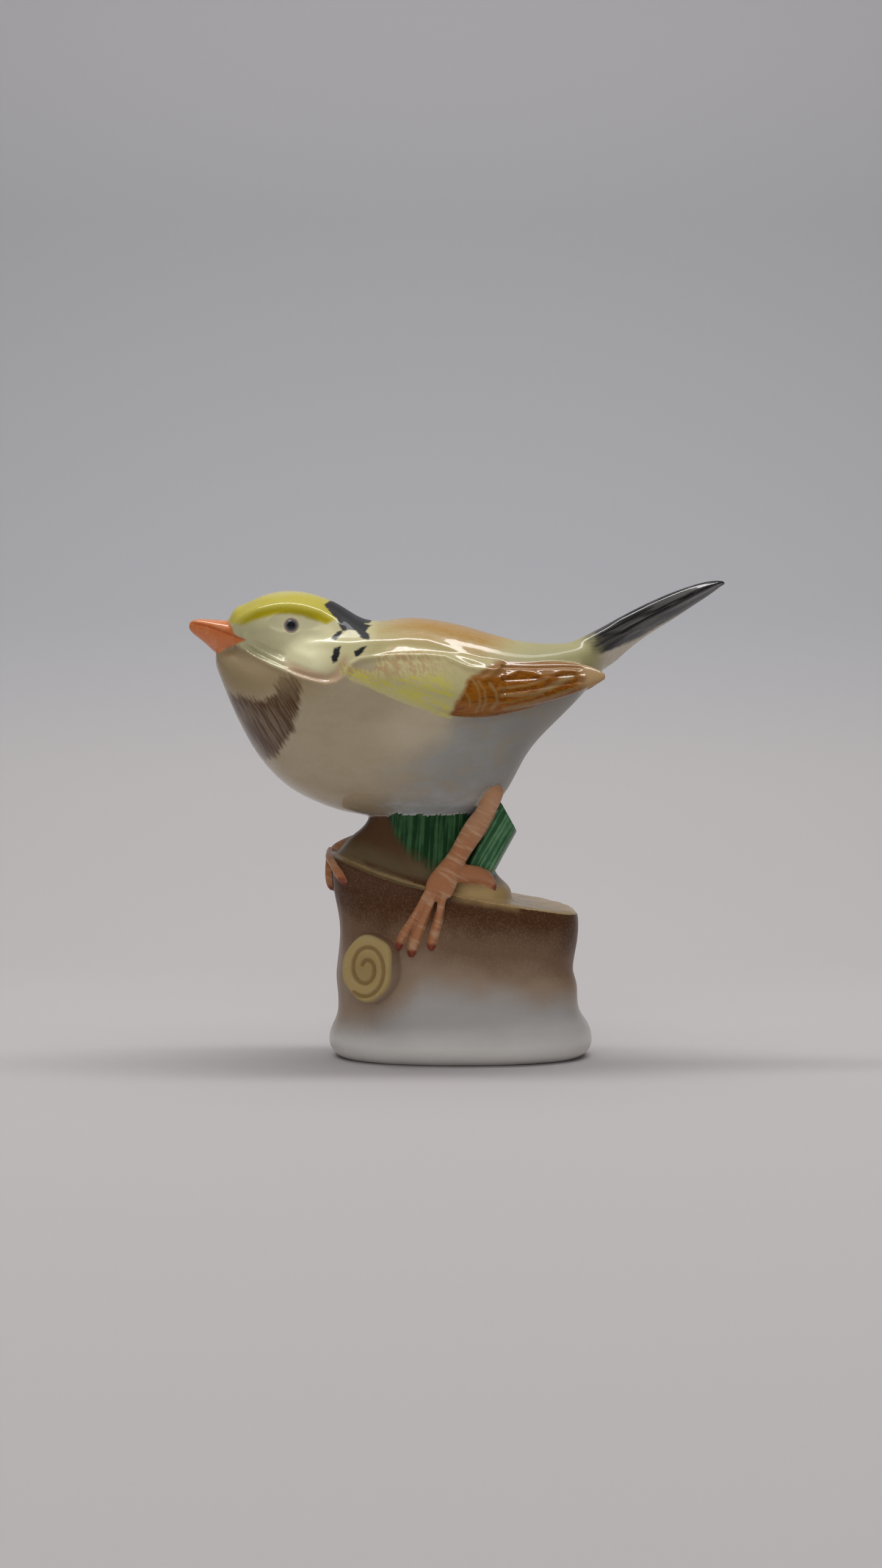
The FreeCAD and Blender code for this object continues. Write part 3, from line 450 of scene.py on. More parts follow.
def softness(points, zones):
    """How much each point belongs to a place where one form melts into the next, 0 to 1."""
    x, y, z = points.T
    shoulder = smoothstep(*SHOULDER_BACK_X, x) * smoothstep(*SHOULDER_FRONT_X, x)
    shoulder *= smoothstep(*SHOULDER_Z, z) * smoothstep(*SHOULDER_Y, np.abs(y))
    rump = smoothstep(*RUMP_SEAM_X, x) * smoothstep(*TAIL_SEAM_X, x) * smoothstep(*RUMP_SEAM_Z, z)
    rump *= 1.0 - zones["left_wing"] - zones["right_wing"]
    nape = smoothstep(*NAPE_SEAM_FRONT_X, x) * smoothstep(*NAPE_SEAM_BACK_X, x) * smoothstep(*NAPE_SEAM_Z, z)
    crest = smoothstep(*CREST_SEAM_ABOVE, over_line(x, z, SAWN_EDGE)) * smoothstep(*CREST_SEAM_Z, z)
    crest *= zones["stump"] + zones["front_leaf"]
    return np.clip(shoulder + rump + nape + CREST_SOFTNESS * crest, 0.0, 1.0)


def relief(points, normals, zones):
    """How far each point of the skin is raised along its normal by the modeller's tools."""
    x, z = points[:, 0], points[:, 2]
    wing = zones["left_wing"] + zones["right_wing"]
    head = zones["bird_body"] * smoothstep(*HEAD_X, x)
    flank = smoothstep(*FLANK_TILT, np.abs(normals[:, 1]))
    side = flank * (zones["bird_body"] + wing)
    lines = [
        (head, BROW_RIDGE, BROW_TOOL),
        (head, JAW_RIDGE, JAW_TOOL),
        (head, CHEEK_ROLL, CHEEK_TOOL),
        (side, RUFF_ROLL, RUFF_TOOL),
        (side, NECK_ROLL, NECK_TOOL),
        (zones["beak"], GAPE, GAPE_TOOL),
    ]
    lines += [(side, line, FOLD_TOOL) for line in WING_FOLDS]
    lines += [(zones["tail"], line, TAIL_TOOL) for line in TAIL_LINES]
    for half, line in FLIGHT_LINES + COVERT_ARCS:
        lines.append((wing, line, (FEATHER_RISE, half + FEATHER_MARGIN)))
    rise = SKIN_SWELL * ripple(points, SKIN_SWELL_LENGTH, 3)
    for share, line, tool in lines:
        rise += share * tooled(line_distance(x, z, line), tool)
    rise += head * tooled(depth_in(x, z, RUFF) - RUFF_HOLLOW_DEPTH, RUFF_HOLLOW)
    rise += flank * tooled(np.hypot(x - EYE[0], z - EYE[1]) - EYE_RING - EYE_TOOL_GAP, EYE_TOOL)
    rise += zones["branch_stub"] * tooled(spiral_distance(points), SPIRAL_TOOL)
    bark = zones["stump"] * smoothstep(*ROUGH_BARK_Z, z)
    return rise + bark * BARK_SWELL * ripple(points * BARK_STRETCH, BARK_SWELL_LENGTH, 5)


def nearest_line(x, z, lines):
    """How deep each point lies inside the nearest of some painted lines of a given half width."""
    return np.max([half - line_distance(x, z, line) for half, line in lines], axis=0)


def claw_depth(points, zones):
    """How deep each point of the toes lies inside the claw at its tip."""
    depth = np.full(len(points), -9.0)
    for node, tips in CLAWS.items():
        for tip in tips:
            near = CLAW_REACH - np.linalg.norm(points - tip, axis=1)
            depth = np.where(zones[node] > 0.2, np.maximum(depth, near), depth)
    return depth


def paint_places(points, normals, zones):
    """How deep each point lies inside each painted place, in millimetres, and its shares from 0 to 1."""
    x, y, z = points.T
    above = over_line(x, z, SAWN_EDGE)
    sawn = smoothstep(*SAWN_TILT, normals[:, 2])
    sawn *= smoothstep(*SAWN_LOW, above) * smoothstep(*SAWN_HIGH, above)
    crest_foot = smoothstep(*CREST_FOOT_ABOVE, above) * smoothstep(*CREST_FOOT_Y, y)
    crest_foot *= smoothstep(*CREST_FOOT_LEFT_X, x) * smoothstep(*CREST_FOOT_RIGHT_X, x)
    return {
        "beak_paint": depth_in(x, z, BEAK_PAINT),
        "gape": GAPE_HALF - line_distance(x, z, GAPE),
        "crown": over_line(x, z, CROWN_EDGE),
        "brow_stripe": depth_in(x, z, BROW_STRIPE),
        "ruff": depth_in(x, z, RUFF),
        "ink": np.max([depth_in(x, z, outline) for outline in NAPE], axis=0),
        "bib": depth_in(x, z, BIB),
        "mantle": depth_in(x, z, MANTLE),
        "flights": depth_in(x, z, FLIGHTS),
        "cream": nearest_line(x, z, FLIGHT_LINES + COVERT_ARCS),
        "grey_vane": depth_in(x, z, GREY_VANE),
        "upper_vane": over_line(x, z, UPPER_VANES),
        "yellow_edge": depth_in(x, z, YELLOW_EDGE),
        "tail_back": over_line(x, z, TAIL_LIMIT),
        "bark_depth": over_line(x, z, BARK_EDGE),
        "rim_height": above,
        "leaf_edge": over_line(x, z, LEAF_EDGE),
        "claw": claw_depth(points, zones),
        "spiral": SPIRAL_LINE_HALF - spiral_distance(points),
        "sawn": sawn,
        "crest": smoothstep(*CREST_ABOVE, above) * smoothstep(*CREST_Z, z),
        "crest_foot": crest_foot,
        "wing": zones["left_wing"] + zones["right_wing"],
        "tail": zones["tail"],
        "leaf": zones["front_leaf"] + zones["tail_leaf"],
        "leg": zones["left_leg"] + zones["right_leg"],
        "toe": sum(zones[name] for name in CLAWS),
        "stub": zones["branch_stub"],
    }


def build_pieces():
    names = list(frame["nodes"])
    points, faces, owner = gathered()
    skin, edges, quads = largest_shell(*remeshed(points, faces))
    tree = BVHTree.FromPolygons(points.tolist(), faces.tolist())
    nearest = np.array([owner[tree.find_nearest(p)[2]] for p in skin.tolist()])
    skin = smoothed(skin, edges, SEAM_ROUNDS, SHRINK_GUARD)
    shares = smoothed(np.eye(len(names))[nearest], edges, BLEND_ROUNDS)
    zones = {name: shares[:, i] for i, name in enumerate(names)}
    melt = smoothed(softness(skin, zones)[:, None], edges, BLEND_ROUNDS)
    skin = skin + melt * (smoothed(skin, edges, SOFT_ROUNDS) - skin)
    normals = normals_of(skin, quads)
    skin = skin + normals * relief(skin, normals, zones)[:, None]
    normals = normals_of(skin, quads)
    places = paint_places(skin, normals, zones)
    belongs = nearest[quads[:, 0]]
    for i, name in enumerate(names):
        build_piece(name, skin, normals, quads[belongs == i], places)


def build_piece(name, skin, normals, quads, places):
    """One node's part of the skin, with its painted places and its own glaze."""
    used = np.unique(quads)
    mesh = mesh_of(name, skin[used] * MM, np.searchsorted(used, quads))
    for place, values in places.items():
        layer = mesh.attributes.new(place, "FLOAT", "POINT")
        layer.data.foreach_set("value", values[used].astype(np.float32))
    mesh.polygons.foreach_set("use_smooth", np.ones(len(quads), bool))
    mesh.normals_split_custom_set_from_vertices(normals[used].tolist())
    piece = bpy.data.objects.new(name + "_glazed", mesh)
    bpy.context.scene.collection.objects.link(piece)
    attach(piece, "root")
    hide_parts(name)
    mesh.materials.append(GLAZES[name])


# ---------------------------------------------------------------- materials
class Socket:
    """A node's output that plain sums can be written with."""

    def __init__(self, glaze, link):
        self.glaze = glaze
        self.link = link

    def maths(self, operation, *terms):
        return self.glaze.node("ShaderNodeMath", {"operation": operation}, dict(enumerate(terms)))

    def __add__(self, other):
        return self.maths("ADD", self, other)

    def __sub__(self, other):
        return self.maths("SUBTRACT", self, other)

    def __rsub__(self, other):
        return self.maths("SUBTRACT", other, self)

    def __mul__(self, other):
        return self.maths("MULTIPLY", self, other)

    def __abs__(self):
        return self.maths("ABSOLUTE", self)

    __radd__ = __add__
    __rmul__ = __mul__

    def least(self, other):
        return self.maths("MINIMUM", self, other)

    def root(self):
        return self.maths("SQRT", self)

    def step(self, start, full):
        """0 at start and 1 at full, eased between them."""
        settings = {"interpolation_type": "SMOOTHSTEP"}
        inputs = {"Value": self, "From Min": start, "From Max": full}
        return self.glaze.node("ShaderNodeMapRange", settings, inputs)


class Glaze:
    """A glossy painted-porcelain material in the making."""

    def __init__(self, name):
        self.material = bpy.data.materials.new(name)
        self.material.use_nodes = True
        self.tree = self.material.node_tree
        self.tree.nodes.clear()
        metres = {"Vector": self.node("ShaderNodeTexCoord", output="Object"), "Scale": 1.0 / MM}
        self.where = self.node("ShaderNodeVectorMath", {"operation": "SCALE"}, metres)
        axes = (self.node("ShaderNodeSeparateXYZ", {}, {0: self.where}, axis) for axis in "XYZ")
        self.x, self.y, self.z = axes

    def node(self, kind, settings=None, inputs=None, output=0):
        made = self.tree.nodes.new(kind)
        for key, value in (settings or {}).items():
            setattr(made, key, value)
        for key, value in (inputs or {}).items():
            if isinstance(value, Socket):
                self.tree.links.new(made.inputs[key], value.link)
            else:
                made.inputs[key].default_value = value
        return Socket(self, made.outputs[output]) if made.outputs else None

    def layer(self, name):
        """A place's distance or share, as it was measured on the skin."""
        return self.node("ShaderNodeAttribute", {"attribute_name": name}, {}, "Fac")

    def place(self, name, wobble, start, full):
        """How fully a measured place is painted: wobble shifts its edge, eased from start to full."""
        return (self.layer(name) + wobble).step(start, full)

    def noise(self, size, stretch=EVEN, detail=2.0, lean=0.0):
        """A soft random field, about 0 to 1, with patches of a size, stretched and leant in the side view."""
        leant = self.node("ShaderNodeMapping", {}, {"Vector": self.where, "Rotation": (0.0, lean, 0.0)})
        scale = tuple(1.0 / (size * s) for s in stretch)
        sized = self.node("ShaderNodeMapping", {}, {"Vector": leant, "Scale": scale})
        inputs = {"Vector": sized, "Scale": 1.0, "Detail": detail, "Roughness": NOISE_ROUGHNESS}
        return self.node("ShaderNodeTexNoise", {}, inputs)

    def mix(self, share, under, over):
        return self.node("ShaderNodeMix", {"data_type": "RGBA"}, {0: share, 6: under, 7: over}, 2)

    def finish(self, colour, roughness, height, coat):
        """The glaze over the paint: glossy, slightly uneven, with a clear coat."""
        bent = self.node("ShaderNodeBump", {}, {
            "Strength": BUMP_SHARE, "Distance": BUMP_HEIGHT, "Height": height})
        skin = self.node("ShaderNodeBsdfPrincipled", {}, {
            "Base Color": colour, "Roughness": roughness, "Normal": bent, "IOR": GLAZE_IOR,
            "Coat Weight": coat, "Coat Roughness": COAT_ROUGHNESS, "Specular IOR Level": GLAZE_SHINE})
        self.node("ShaderNodeOutputMaterial", {}, {"Surface": skin})
        return self.material


def rgb(red, green, blue):
    return (red, green, blue, 1.0)


# The plinth's one white glaze in two copies: a darker one above, painted shade, and a lighter one at the
# foot, painted light
PLINTH_WHITE_PAINTED_SHADE = rgb(0.44, 0.425, 0.41)
PLINTH_WHITE_PAINTED_LIGHT = rgb(0.74, 0.715, 0.675)
CREAM = rgb(0.44, 0.36, 0.24)
BELLY_GREY = rgb(0.285, 0.275, 0.25)
BELLY_BLUE = rgb(0.31, 0.33, 0.34)
BELLY_MIST = rgb(0.45, 0.455, 0.455)
THROAT = rgb(0.36, 0.27, 0.15)
PALE_GREEN = rgb(0.50, 0.44, 0.22)
FACE = rgb(0.54, 0.50, 0.29)
# The pale cheek, whose brightness is partly a painted highlight
CHEEK_PALE_AND_HIGHLIGHT = rgb(0.79, 0.74, 0.46)
CROWN = rgb(0.56, 0.48, 0.07)
# Pale yellow on top of the crown: a painted highlight
CROWN_TOP_HIGHLIGHT = rgb(0.60, 0.53, 0.18)
# Deep yellow of the brow stripe, which is also painted shade under the brow ridge
BROW_YELLOW_AND_SHADE = rgb(0.46, 0.37, 0.006)
INK = rgb(0.012, 0.012, 0.014)
BIB_BROWN = rgb(0.088, 0.038, 0.014)
TAN = rgb(0.43, 0.205, 0.033)
PEACH = rgb(0.48, 0.32, 0.16)
COVERT = rgb(0.56, 0.50, 0.25)
COVERT_YELLOW = rgb(0.60, 0.54, 0.06)
RUST = rgb(0.30, 0.10, 0.003)
RUST_DEEP = rgb(0.20, 0.058, 0.002)
RUST_PALE = rgb(0.29, 0.135, 0.040)
FEATHER_CREAM = rgb(0.30, 0.19, 0.075)
VANE_GREY = rgb(0.34, 0.28, 0.14)
RUMP = rgb(0.38, 0.345, 0.17)
TAIL_BLACK = rgb(0.013, 0.012, 0.012)
# Grey barb streaks on the black tail, which are also a painted sheen
TAIL_STREAK_AND_SHEEN = rgb(0.16, 0.15, 0.14)
TAIL_CREAM = rgb(0.55, 0.48, 0.38)
BEAK_CORAL = rgb(0.66, 0.19, 0.055)
# Pale coral for the beak's scuffs and for the painted highlight along its ridge
BEAK_SCUFF_AND_HIGHLIGHT = rgb(0.74, 0.34, 0.17)
GAPE_RED = rgb(0.42, 0.085, 0.02)
LEAF_DARK = rgb(0.008, 0.040, 0.012)
LEAF_LIGHT = rgb(0.045, 0.12, 0.045)
LEG_ORANGE = rgb(0.43, 0.18, 0.08)
LEG_PALE = rgb(0.56, 0.34, 0.20)
CLAW_RED = rgb(0.20, 0.022, 0.012)
BARK_DARK = rgb(0.080, 0.031, 0.011)
BARK = rgb(0.19, 0.11, 0.062)
BARK_PALE = rgb(0.34, 0.245, 0.17)
CREST_DARK = rgb(0.100, 0.050, 0.023)
CREST_OLIVE = rgb(0.13, 0.090, 0.046)
PALE_CREAM = rgb(0.60, 0.50, 0.36)
# Tan along the ruff's edge, which is also painted shade in the hollow above the ruff
RUFF_TAN_AND_SHADE = rgb(0.53, 0.37, 0.23)
TAIL_LEAF_DARK = rgb(0.03, 0.11, 0.045)
TAIL_LEAF_LIGHT = rgb(0.13, 0.28, 0.14)
SAWN_WOOD = rgb(0.50, 0.34, 0.15)
STUB_FACE = rgb(0.44, 0.32, 0.13)
RING_BROWN = rgb(0.20, 0.115, 0.035)
IRIS = rgb(0.11, 0.12, 0.14)
EYE_RIM = rgb(0.30, 0.19, 0.15)
FLOOR_PAPER = rgb(0.50, 0.475, 0.475)
# The wall's painted shade: the same paper painted darker where it rises
WALL_PAINTED_SHADE = rgb(0.42, 0.42, 0.44)


# ---------------------------------------------------------------- the bird's paint
class Brushes:
    """The swells and strokes that break up the bird's paint, shared by all its colours."""

    def __init__(self, g):
        self.broad = g.noise(9.0, detail=3.0)
        self.fine = g.noise(1.6, detail=4.0)
        self.along = g.noise(0.45, ALONG, 3.0, 0.12)
        self.down = g.noise(0.40, (8.0, 1.0, 1.0), 3.0, -0.40)
        self.falling = g.noise(0.60, (1.0, 1.0, 8.0), 3.0, 0.36)
        rising = g.noise(0.42, (1.0, 3.0, 9.0), 3.0, BIB_LEAN)
        self.swell = self.broad - 0.5
        self.grit = self.fine - 0.5
        self.ragged = self.grit * 1.2 + (self.along - 0.5)
        self.stroked = self.grit + (rising - 0.5) * 3.2


def belly_paint(g, b):
    """Cream in front, brushed over with blue grey behind and below."""
    cool = (g.x + b.swell * 12.0 + (BELLY_MIDDLE - g.z) * 0.75).step(*GREY_BELLY_X)
    colour = g.mix(cool, CREAM, BELLY_GREY)
    mottle = g.noise(3.6, (1.8, 1.0, 1.0), 5.0, 0.2).step(0.42, 0.67)
    colour = g.mix(mottle * 0.30, colour, THROAT)
    wash = g.noise(2.6, (2.5, 1.0, 1.0), 4.0, 0.3).step(0.42, 0.64) * cool
    colour = g.mix(wash * g.x.step(*BLUE_WASH_X) * 0.7, colour, BELLY_BLUE)
    aside, above = g.x - PALE_PATCH[0], g.z - PALE_PATCH[1]
    from_patch = (aside * aside * 0.4 + above * above).root() + b.swell * 6.0
    colour = g.mix(from_patch.step(PALE_PATCH_REACH, 0.0) * 0.6, colour, PALE_CREAM)
    low = (g.z + b.swell * 6.0).step(*MIST_Z) * (g.x + b.grit * 6.0).step(*MIST_X)
    mist = g.noise(1.6, (3.0, 1.0, 1.0), 4.0, 0.1).step(0.35, 0.65)
    colour = g.mix(low * (0.45 + mist * 0.45), colour, BELLY_MIST)
    return g.mix((g.z + b.swell * 8.0).step(*UNDERBELLY_Z) * (1.0 - low) * 0.35, colour, THROAT)


def neck_paint(g, b, colour):
    """The throat under the ruff, and the pale neck and back above it."""
    throat = (g.z + b.swell * 5.0).step(*THROAT_Z) * g.x.step(*THROAT_X)
    colour = g.mix(throat, colour, THROAT)
    neck = (g.z + b.swell * 3.0).step(*NECK_Z) * g.x.step(*NECK_X)
    return g.mix(neck, colour, PALE_GREEN)


def face_paint(g, b, colour):
    """The face over the ruff, greener behind. Its pale cheek is partly a painted highlight, and the tan band
    along the ruff's edge is partly painted shade in the hollow above it.
    """
    # The pale cheek behind the eye: partly a painted highlight
    face = g.mix((g.x + (g.z - CHEEK_MIDDLE) * 0.4 + b.swell * 3.0).step(*CHEEK_X), FACE, CHEEK_PALE_AND_HIGHLIGHT)
    face = g.mix((g.x + b.ragged).step(*GREEN_CHEEK_X) * 0.8, face, PALE_GREEN)
    # The tan band is also painted shade in the hollow above the ruff's edge
    band = g.place("ruff", b.swell * 2.0, 2.6, 1.2) * g.x.step(*BAND_BACK_X)
    face = g.mix(band * g.x.step(*BAND_FRONT_X), face, RUFF_TAN_AND_SHADE)
    above_ruff = g.place("ruff", b.grit * 0.3, -0.4, 0.5)
    return g.mix(above_ruff * g.x.step(*FACE_BACK_X), colour, face)


def back_paint(g, b, colour):
    """The tan mantle, laid on in strokes, and the green rump."""
    mantle = g.place("mantle", b.ragged * 1.4 + b.swell * 5.0, -3.4, 3.2)
    strokes = (0.40 + b.along * 0.75).least(1.0)
    colour = g.mix(mantle * (g.x + b.ragged).step(*MANTLE_X) * strokes, colour, TAN)
    return g.mix((g.x + b.ragged * 2.0).step(*RUMP_X) * g.z.step(*RUMP_Z), colour, RUMP)


def crown_paint(g, b, colour):
    """The yellow crown, with a painted highlight that makes it paler on top, and the deeper stripe along the
    brow, which is partly painted shade under the brow ridge.
    """
    # Paler on top of the crown: a painted highlight
    gold_and_highlight = g.mix((g.z + b.swell * 3.0).step(*CROWN_HIGHLIGHT_Z), CROWN, CROWN_TOP_HIGHLIGHT)
    colour = g.mix(g.place("crown", b.grit * 0.8, -0.4, 0.5) * g.x.step(*CROWN_X), colour, gold_and_highlight)
    # The deep yellow brow stripe: its paint, and painted shade under the brow ridge
    return g.mix(g.place("brow_stripe", b.grit * 0.5, -0.5, 0.5), colour, BROW_YELLOW_AND_SHADE)


def bib_paint(g, b, colour, bib):
    """The brown bib, drawn with separate strokes and thinner at its top."""
    strands = g.noise(0.5, (1.0, 4.0, 16.0), 2.0, BIB_LEAN).step(0.36, 0.61)
    thinness = 1.0 - (g.z + b.swell * 4.0).step(*BIB_TOP_Z) * 0.4
    return g.mix(bib * (0.70 + strands * 0.30) * thinness, colour, BIB_BROWN)


def covert_paint(g, b, colour):
    """The coverts: peach strokes above and yellow strokes towards the lower edge."""
    covert = g.mix(b.falling.step(0.35, 0.60) * g.z.step(*PEACH_Z) * 0.9, COVERT, PEACH)
    covert = g.mix((g.x + b.ragged).step(*GREEN_COVERT_X) * 0.7, covert, PALE_GREEN)
    yellow = g.place("yellow_edge", b.grit, -0.4, 1.4) * b.down.step(0.40, 0.60)
    covert = g.mix(yellow * 0.8, covert, COVERT_YELLOW)
    shoulder = (g.layer("wing") + g.layer("yellow_edge").step(-0.6, 0.5)).least(1.0)
    return g.mix((shoulder + (b.down - 0.5) * 1.2).step(0.30, 0.95), colour, covert)


def flight_paint(g, b, colour, near_wing):
    """The flight feathers: deep rust between cream lines, paler on top and at the tip."""
    rust = g.mix((b.along + b.swell * 0.6).step(0.40, 0.62), RUST_DEEP, RUST)
    rust = g.mix(g.place("upper_vane", b.grit * 0.5, -0.2, 0.9), rust, RUST_PALE)
    rust = g.mix(g.place("grey_vane", b.grit * 0.4, -0.4, 0.5) * 0.5, rust, VANE_GREY)
    rust = g.mix(g.place("cream", b.grit * 0.4, -0.25, 0.15) * 0.65, rust, FEATHER_CREAM)
    rust = g.mix((g.x + b.grit * 2.0).step(*WING_TIP_X) * 0.8, rust, PEACH)
    return g.mix(g.place("flights", b.ragged * 0.8, -0.5, 0.6) * near_wing, colour, rust)


def tail_paint(g, b, colour):
    """The tail: black above and cream below, its root brushed out in streaks. The grey barb streaks on the
    black are also a painted sheen.
    """
    # Grey streaks along the tail: its barbs, and also a painted sheen
    barbs_and_sheen = g.noise(0.5, (14.0, 6.0, 1.0), 2.0, 0.46).step(0.46, 0.66)
    black = g.mix(barbs_and_sheen * 0.45, TAIL_BLACK, TAIL_STREAK_AND_SHEEN)
    tail = g.mix(g.place("tail_back", b.ragged * 0.5, -0.3, 0.5), TAIL_CREAM, black)
    root = (g.x + b.ragged * 2.4 + (g.z - TAIL_ROOT_MIDDLE) * 0.5).step(*TAIL_ROOT_X)
    near_tail = (g.layer("tail") + g.x.step(*TAIL_X)).step(0.1, 0.6)
    return g.mix(root * near_tail, colour, tail)


def beak_paint(g, b, colour):
    """The beak: coral, paler in its scuffs and along its ridge, where the paleness is a painted highlight,
    with a red gape.
    """
    # Paler along the beak's ridge: a painted highlight; the fine patches are scuffs
    pale = b.fine.step(0.4, 0.8) * 0.5 + g.z.step(*BEAK_HIGHLIGHT_Z) * 0.4
    beak = g.mix(pale, BEAK_CORAL, BEAK_SCUFF_AND_HIGHLIGHT)
    beak = g.mix(g.layer("gape").step(-0.15, 0.15) * 0.7, beak, GAPE_RED)
    return g.mix(g.place("beak_paint", b.grit * 0.5, -0.15, 0.25), colour, beak)


def eye_paint(g, b, colour):
    """The eyes: a rim, a grey iris and a black pupil on each side of the head."""
    aside, above = g.x - EYE[0], g.z - EYE[1]
    from_eye = (aside * aside + above * above).root()
    side = abs(g.y).step(*EYE_SIDE_Y)
    colour = g.mix((EYE_RING - from_eye + b.grit * 0.3).step(-0.12, 0.15) * side * 0.8, colour, EYE_RIM)
    colour = g.mix((IRIS_EDGE - from_eye).step(-0.1, 0.1) * side, colour, IRIS)
    return g.mix((PUPIL - from_eye).step(-0.08, 0.08) * side, colour, INK)


def bird_dullness(g, near_wing):
    """Where the glaze lies thinner and shines less: the rump, the ink and the nape."""
    rump = g.x.step(*DULL_RUMP_X) * g.x.step(*DULL_TAIL_X) * (1.0 - near_wing)
    nape = g.x.step(*NAPE_FRONT_X) * g.x.step(*NAPE_BACK_X) * g.z.step(*NAPE_Z)
    return (rump + g.layer("ink").step(0.0, 0.5) * 0.9 + nape * 0.8).least(1.0)


def bird_glaze(name):
    g = Glaze(name)
    b = Brushes(g)
    near_wing = g.layer("wing").step(0.1, 0.6)
    bib = g.place("bib", b.stroked, -0.4, 0.9)
    colour = belly_paint(g, b)
    colour = neck_paint(g, b, colour)
    colour = face_paint(g, b, colour)
    colour = back_paint(g, b, colour)
    colour = crown_paint(g, b, colour)
    colour = bib_paint(g, b, colour, bib)
    colour = covert_paint(g, b, colour)
    colour = flight_paint(g, b, colour, near_wing)
    colour = tail_paint(g, b, colour)
    colour = g.mix(g.place("ink", b.ragged * 0.55, -0.12, 0.3), colour, INK)
    colour = beak_paint(g, b, colour)
    colour = eye_paint(g, b, colour)
    dull = bird_dullness(g, near_wing)
    height = b.broad * 0.6 + b.fine * 0.12 + bib * 0.05
    return g.finish(colour, 0.22 + b.fine * 0.1 + dull * 0.2, height, 0.6 - dull * 0.4)


# ---------------------------------------------------------------- the stump's paint
def bark_paint(g, swell, speckle, fade):
    """Airbrushed bark, darkest under the rim, that fades out above the white plinth. The plinth's white is
    painted darker above, as painted shade, and lighter at its foot, as painted light.
    """
    grains = (speckle - 0.5) * 2.0
    below = swell * 7.0 + grains - g.layer("rim_height") - g.x.step(*DARK_BARK_X) * DARK_BARK_DROP
    bark = g.mix(below.step(*BARK_BELOW), BARK, BARK_DARK)
    bark = g.mix(below.step(*PALE_BARK_BELOW), bark, BARK_PALE)
    bark = g.mix(speckle.step(0.45, 0.70) * 0.16, bark, BARK_PALE)
    # The plinth's white: painted shade above, painted light at its foot
    white = g.mix((g.z + swell * 2.0).step(*PLINTH_PAINTED_LIGHT_Z), PLINTH_WHITE_PAINTED_SHADE, PLINTH_WHITE_PAINTED_LIGHT)
    return g.mix(fade, white, bark)


def crest_paint(g, swell, colour):
    """The crest under the bird: olive at its foot, darker above, and bare wood at its right end."""
    crest = g.mix(g.place("rim_height", swell * 5.0, *DARK_CREST_ABOVE), CREST_OLIVE, CREST_DARK)
    crest = g.mix(g.x.step(*BARE_CREST_X) * g.z.step(*BARE_CREST_Z), crest, SAWN_WOOD)
    return g.mix((g.layer("crest") + g.layer("crest_foot")).least(1.0), colour, crest)


def sawn_paint(g, swell, grit, colour):
    """The sloping sawn top: pale grained wood, olive towards the left, with a pale rim."""
    grain = g.noise(0.5, UPRIGHT, 3.0).step(0.4, 0.7)
    sawn = g.mix(grain * 0.35, SAWN_WOOD, RING_BROWN)
    sawn = g.mix((g.x + swell * 6.0).step(*OLIVE_TOP_X) * 0.9, sawn, CREST_OLIVE)
    rim = (abs(g.layer("rim_height") + 0.2) + grit * 0.5).step(0.45, 0.1)
    sawn = g.mix(rim * 0.45, sawn, SAWN_WOOD)
    return g.mix(g.layer("sawn").step(0.2, 0.8), colour, sawn)


def stub_paint(g, fine, grit, colour):
    """The sawn branch: a cream face with a brown spiral of growth rings and a darker heart."""
    face = g.mix(fine.step(0.45, 0.75) * 0.3, STUB_FACE, CREAM)
    face = g.mix(g.place("spiral", grit * 0.3, -0.1, 0.3) * 0.65, face, RING_BROWN)
    aside, above = g.x - float(STUB_CENTRE[0]), g.z - float(STUB_CENTRE[2])
    face = g.mix((aside * aside + above * above).step(HEART_REACH ** 2, 0.0) * 0.3, face, RING_BROWN)
    x, y, z = (float(part) for part in STUB_OUTWARD)
    ahead = g.x * x + g.y * y + g.z * z - float(STUB_CENTRE @ STUB_OUTWARD)
    return g.mix(g.layer("stub").step(0.3, 0.7) * ahead.step(*STUB_FACE_AHEAD), colour, face)


def leaf_paint(g, fine, grit, colour):
    """Both leaves, streaked lengthwise; the front one is brushed out at its left edge."""
    upright = g.noise(0.55, BLADE, 1.5, FRONT_LEAF_LEAN)
    leaning = g.noise(0.55, BLADE, 1.5, TAIL_LEAF_LEAN)
    front = g.mix((upright * 0.75 + fine * 0.25).step(0.42, 0.67), LEAF_DARK, LEAF_LIGHT)
    raised = g.mix((leaning * 0.75 + fine * 0.25).step(0.42, 0.64), TAIL_LEAF_DARK, TAIL_LEAF_LIGHT)
    leaf = g.mix(g.x.step(*TAIL_LEAF_X), front, raised)
    edge = g.place("leaf_edge", grit * 3.0, -1.0, 2.4)
    return g.mix(g.layer("leaf").step(0.2, 0.8) * edge, colour, leaf)


def foot_paint(g, grit, colour, foot):
    """Legs and toes: orange with paler bands across them, and red claws."""
    bands = g.noise(1.1, (5.0, 5.0, 0.8), 2.0, -0.5).step(0.48, 0.68)
    pale = (bands * 0.7 + (g.z + grit * 6.0).step(*PALE_LEG_Z) * 0.5).least(1.0)
    colour = g.mix(foot, colour, g.mix(pale, LEG_ORANGE, LEG_PALE))
    return g.mix(g.place("claw", grit * 0.6, -0.35, 0.35) * 0.85, colour, CLAW_RED)


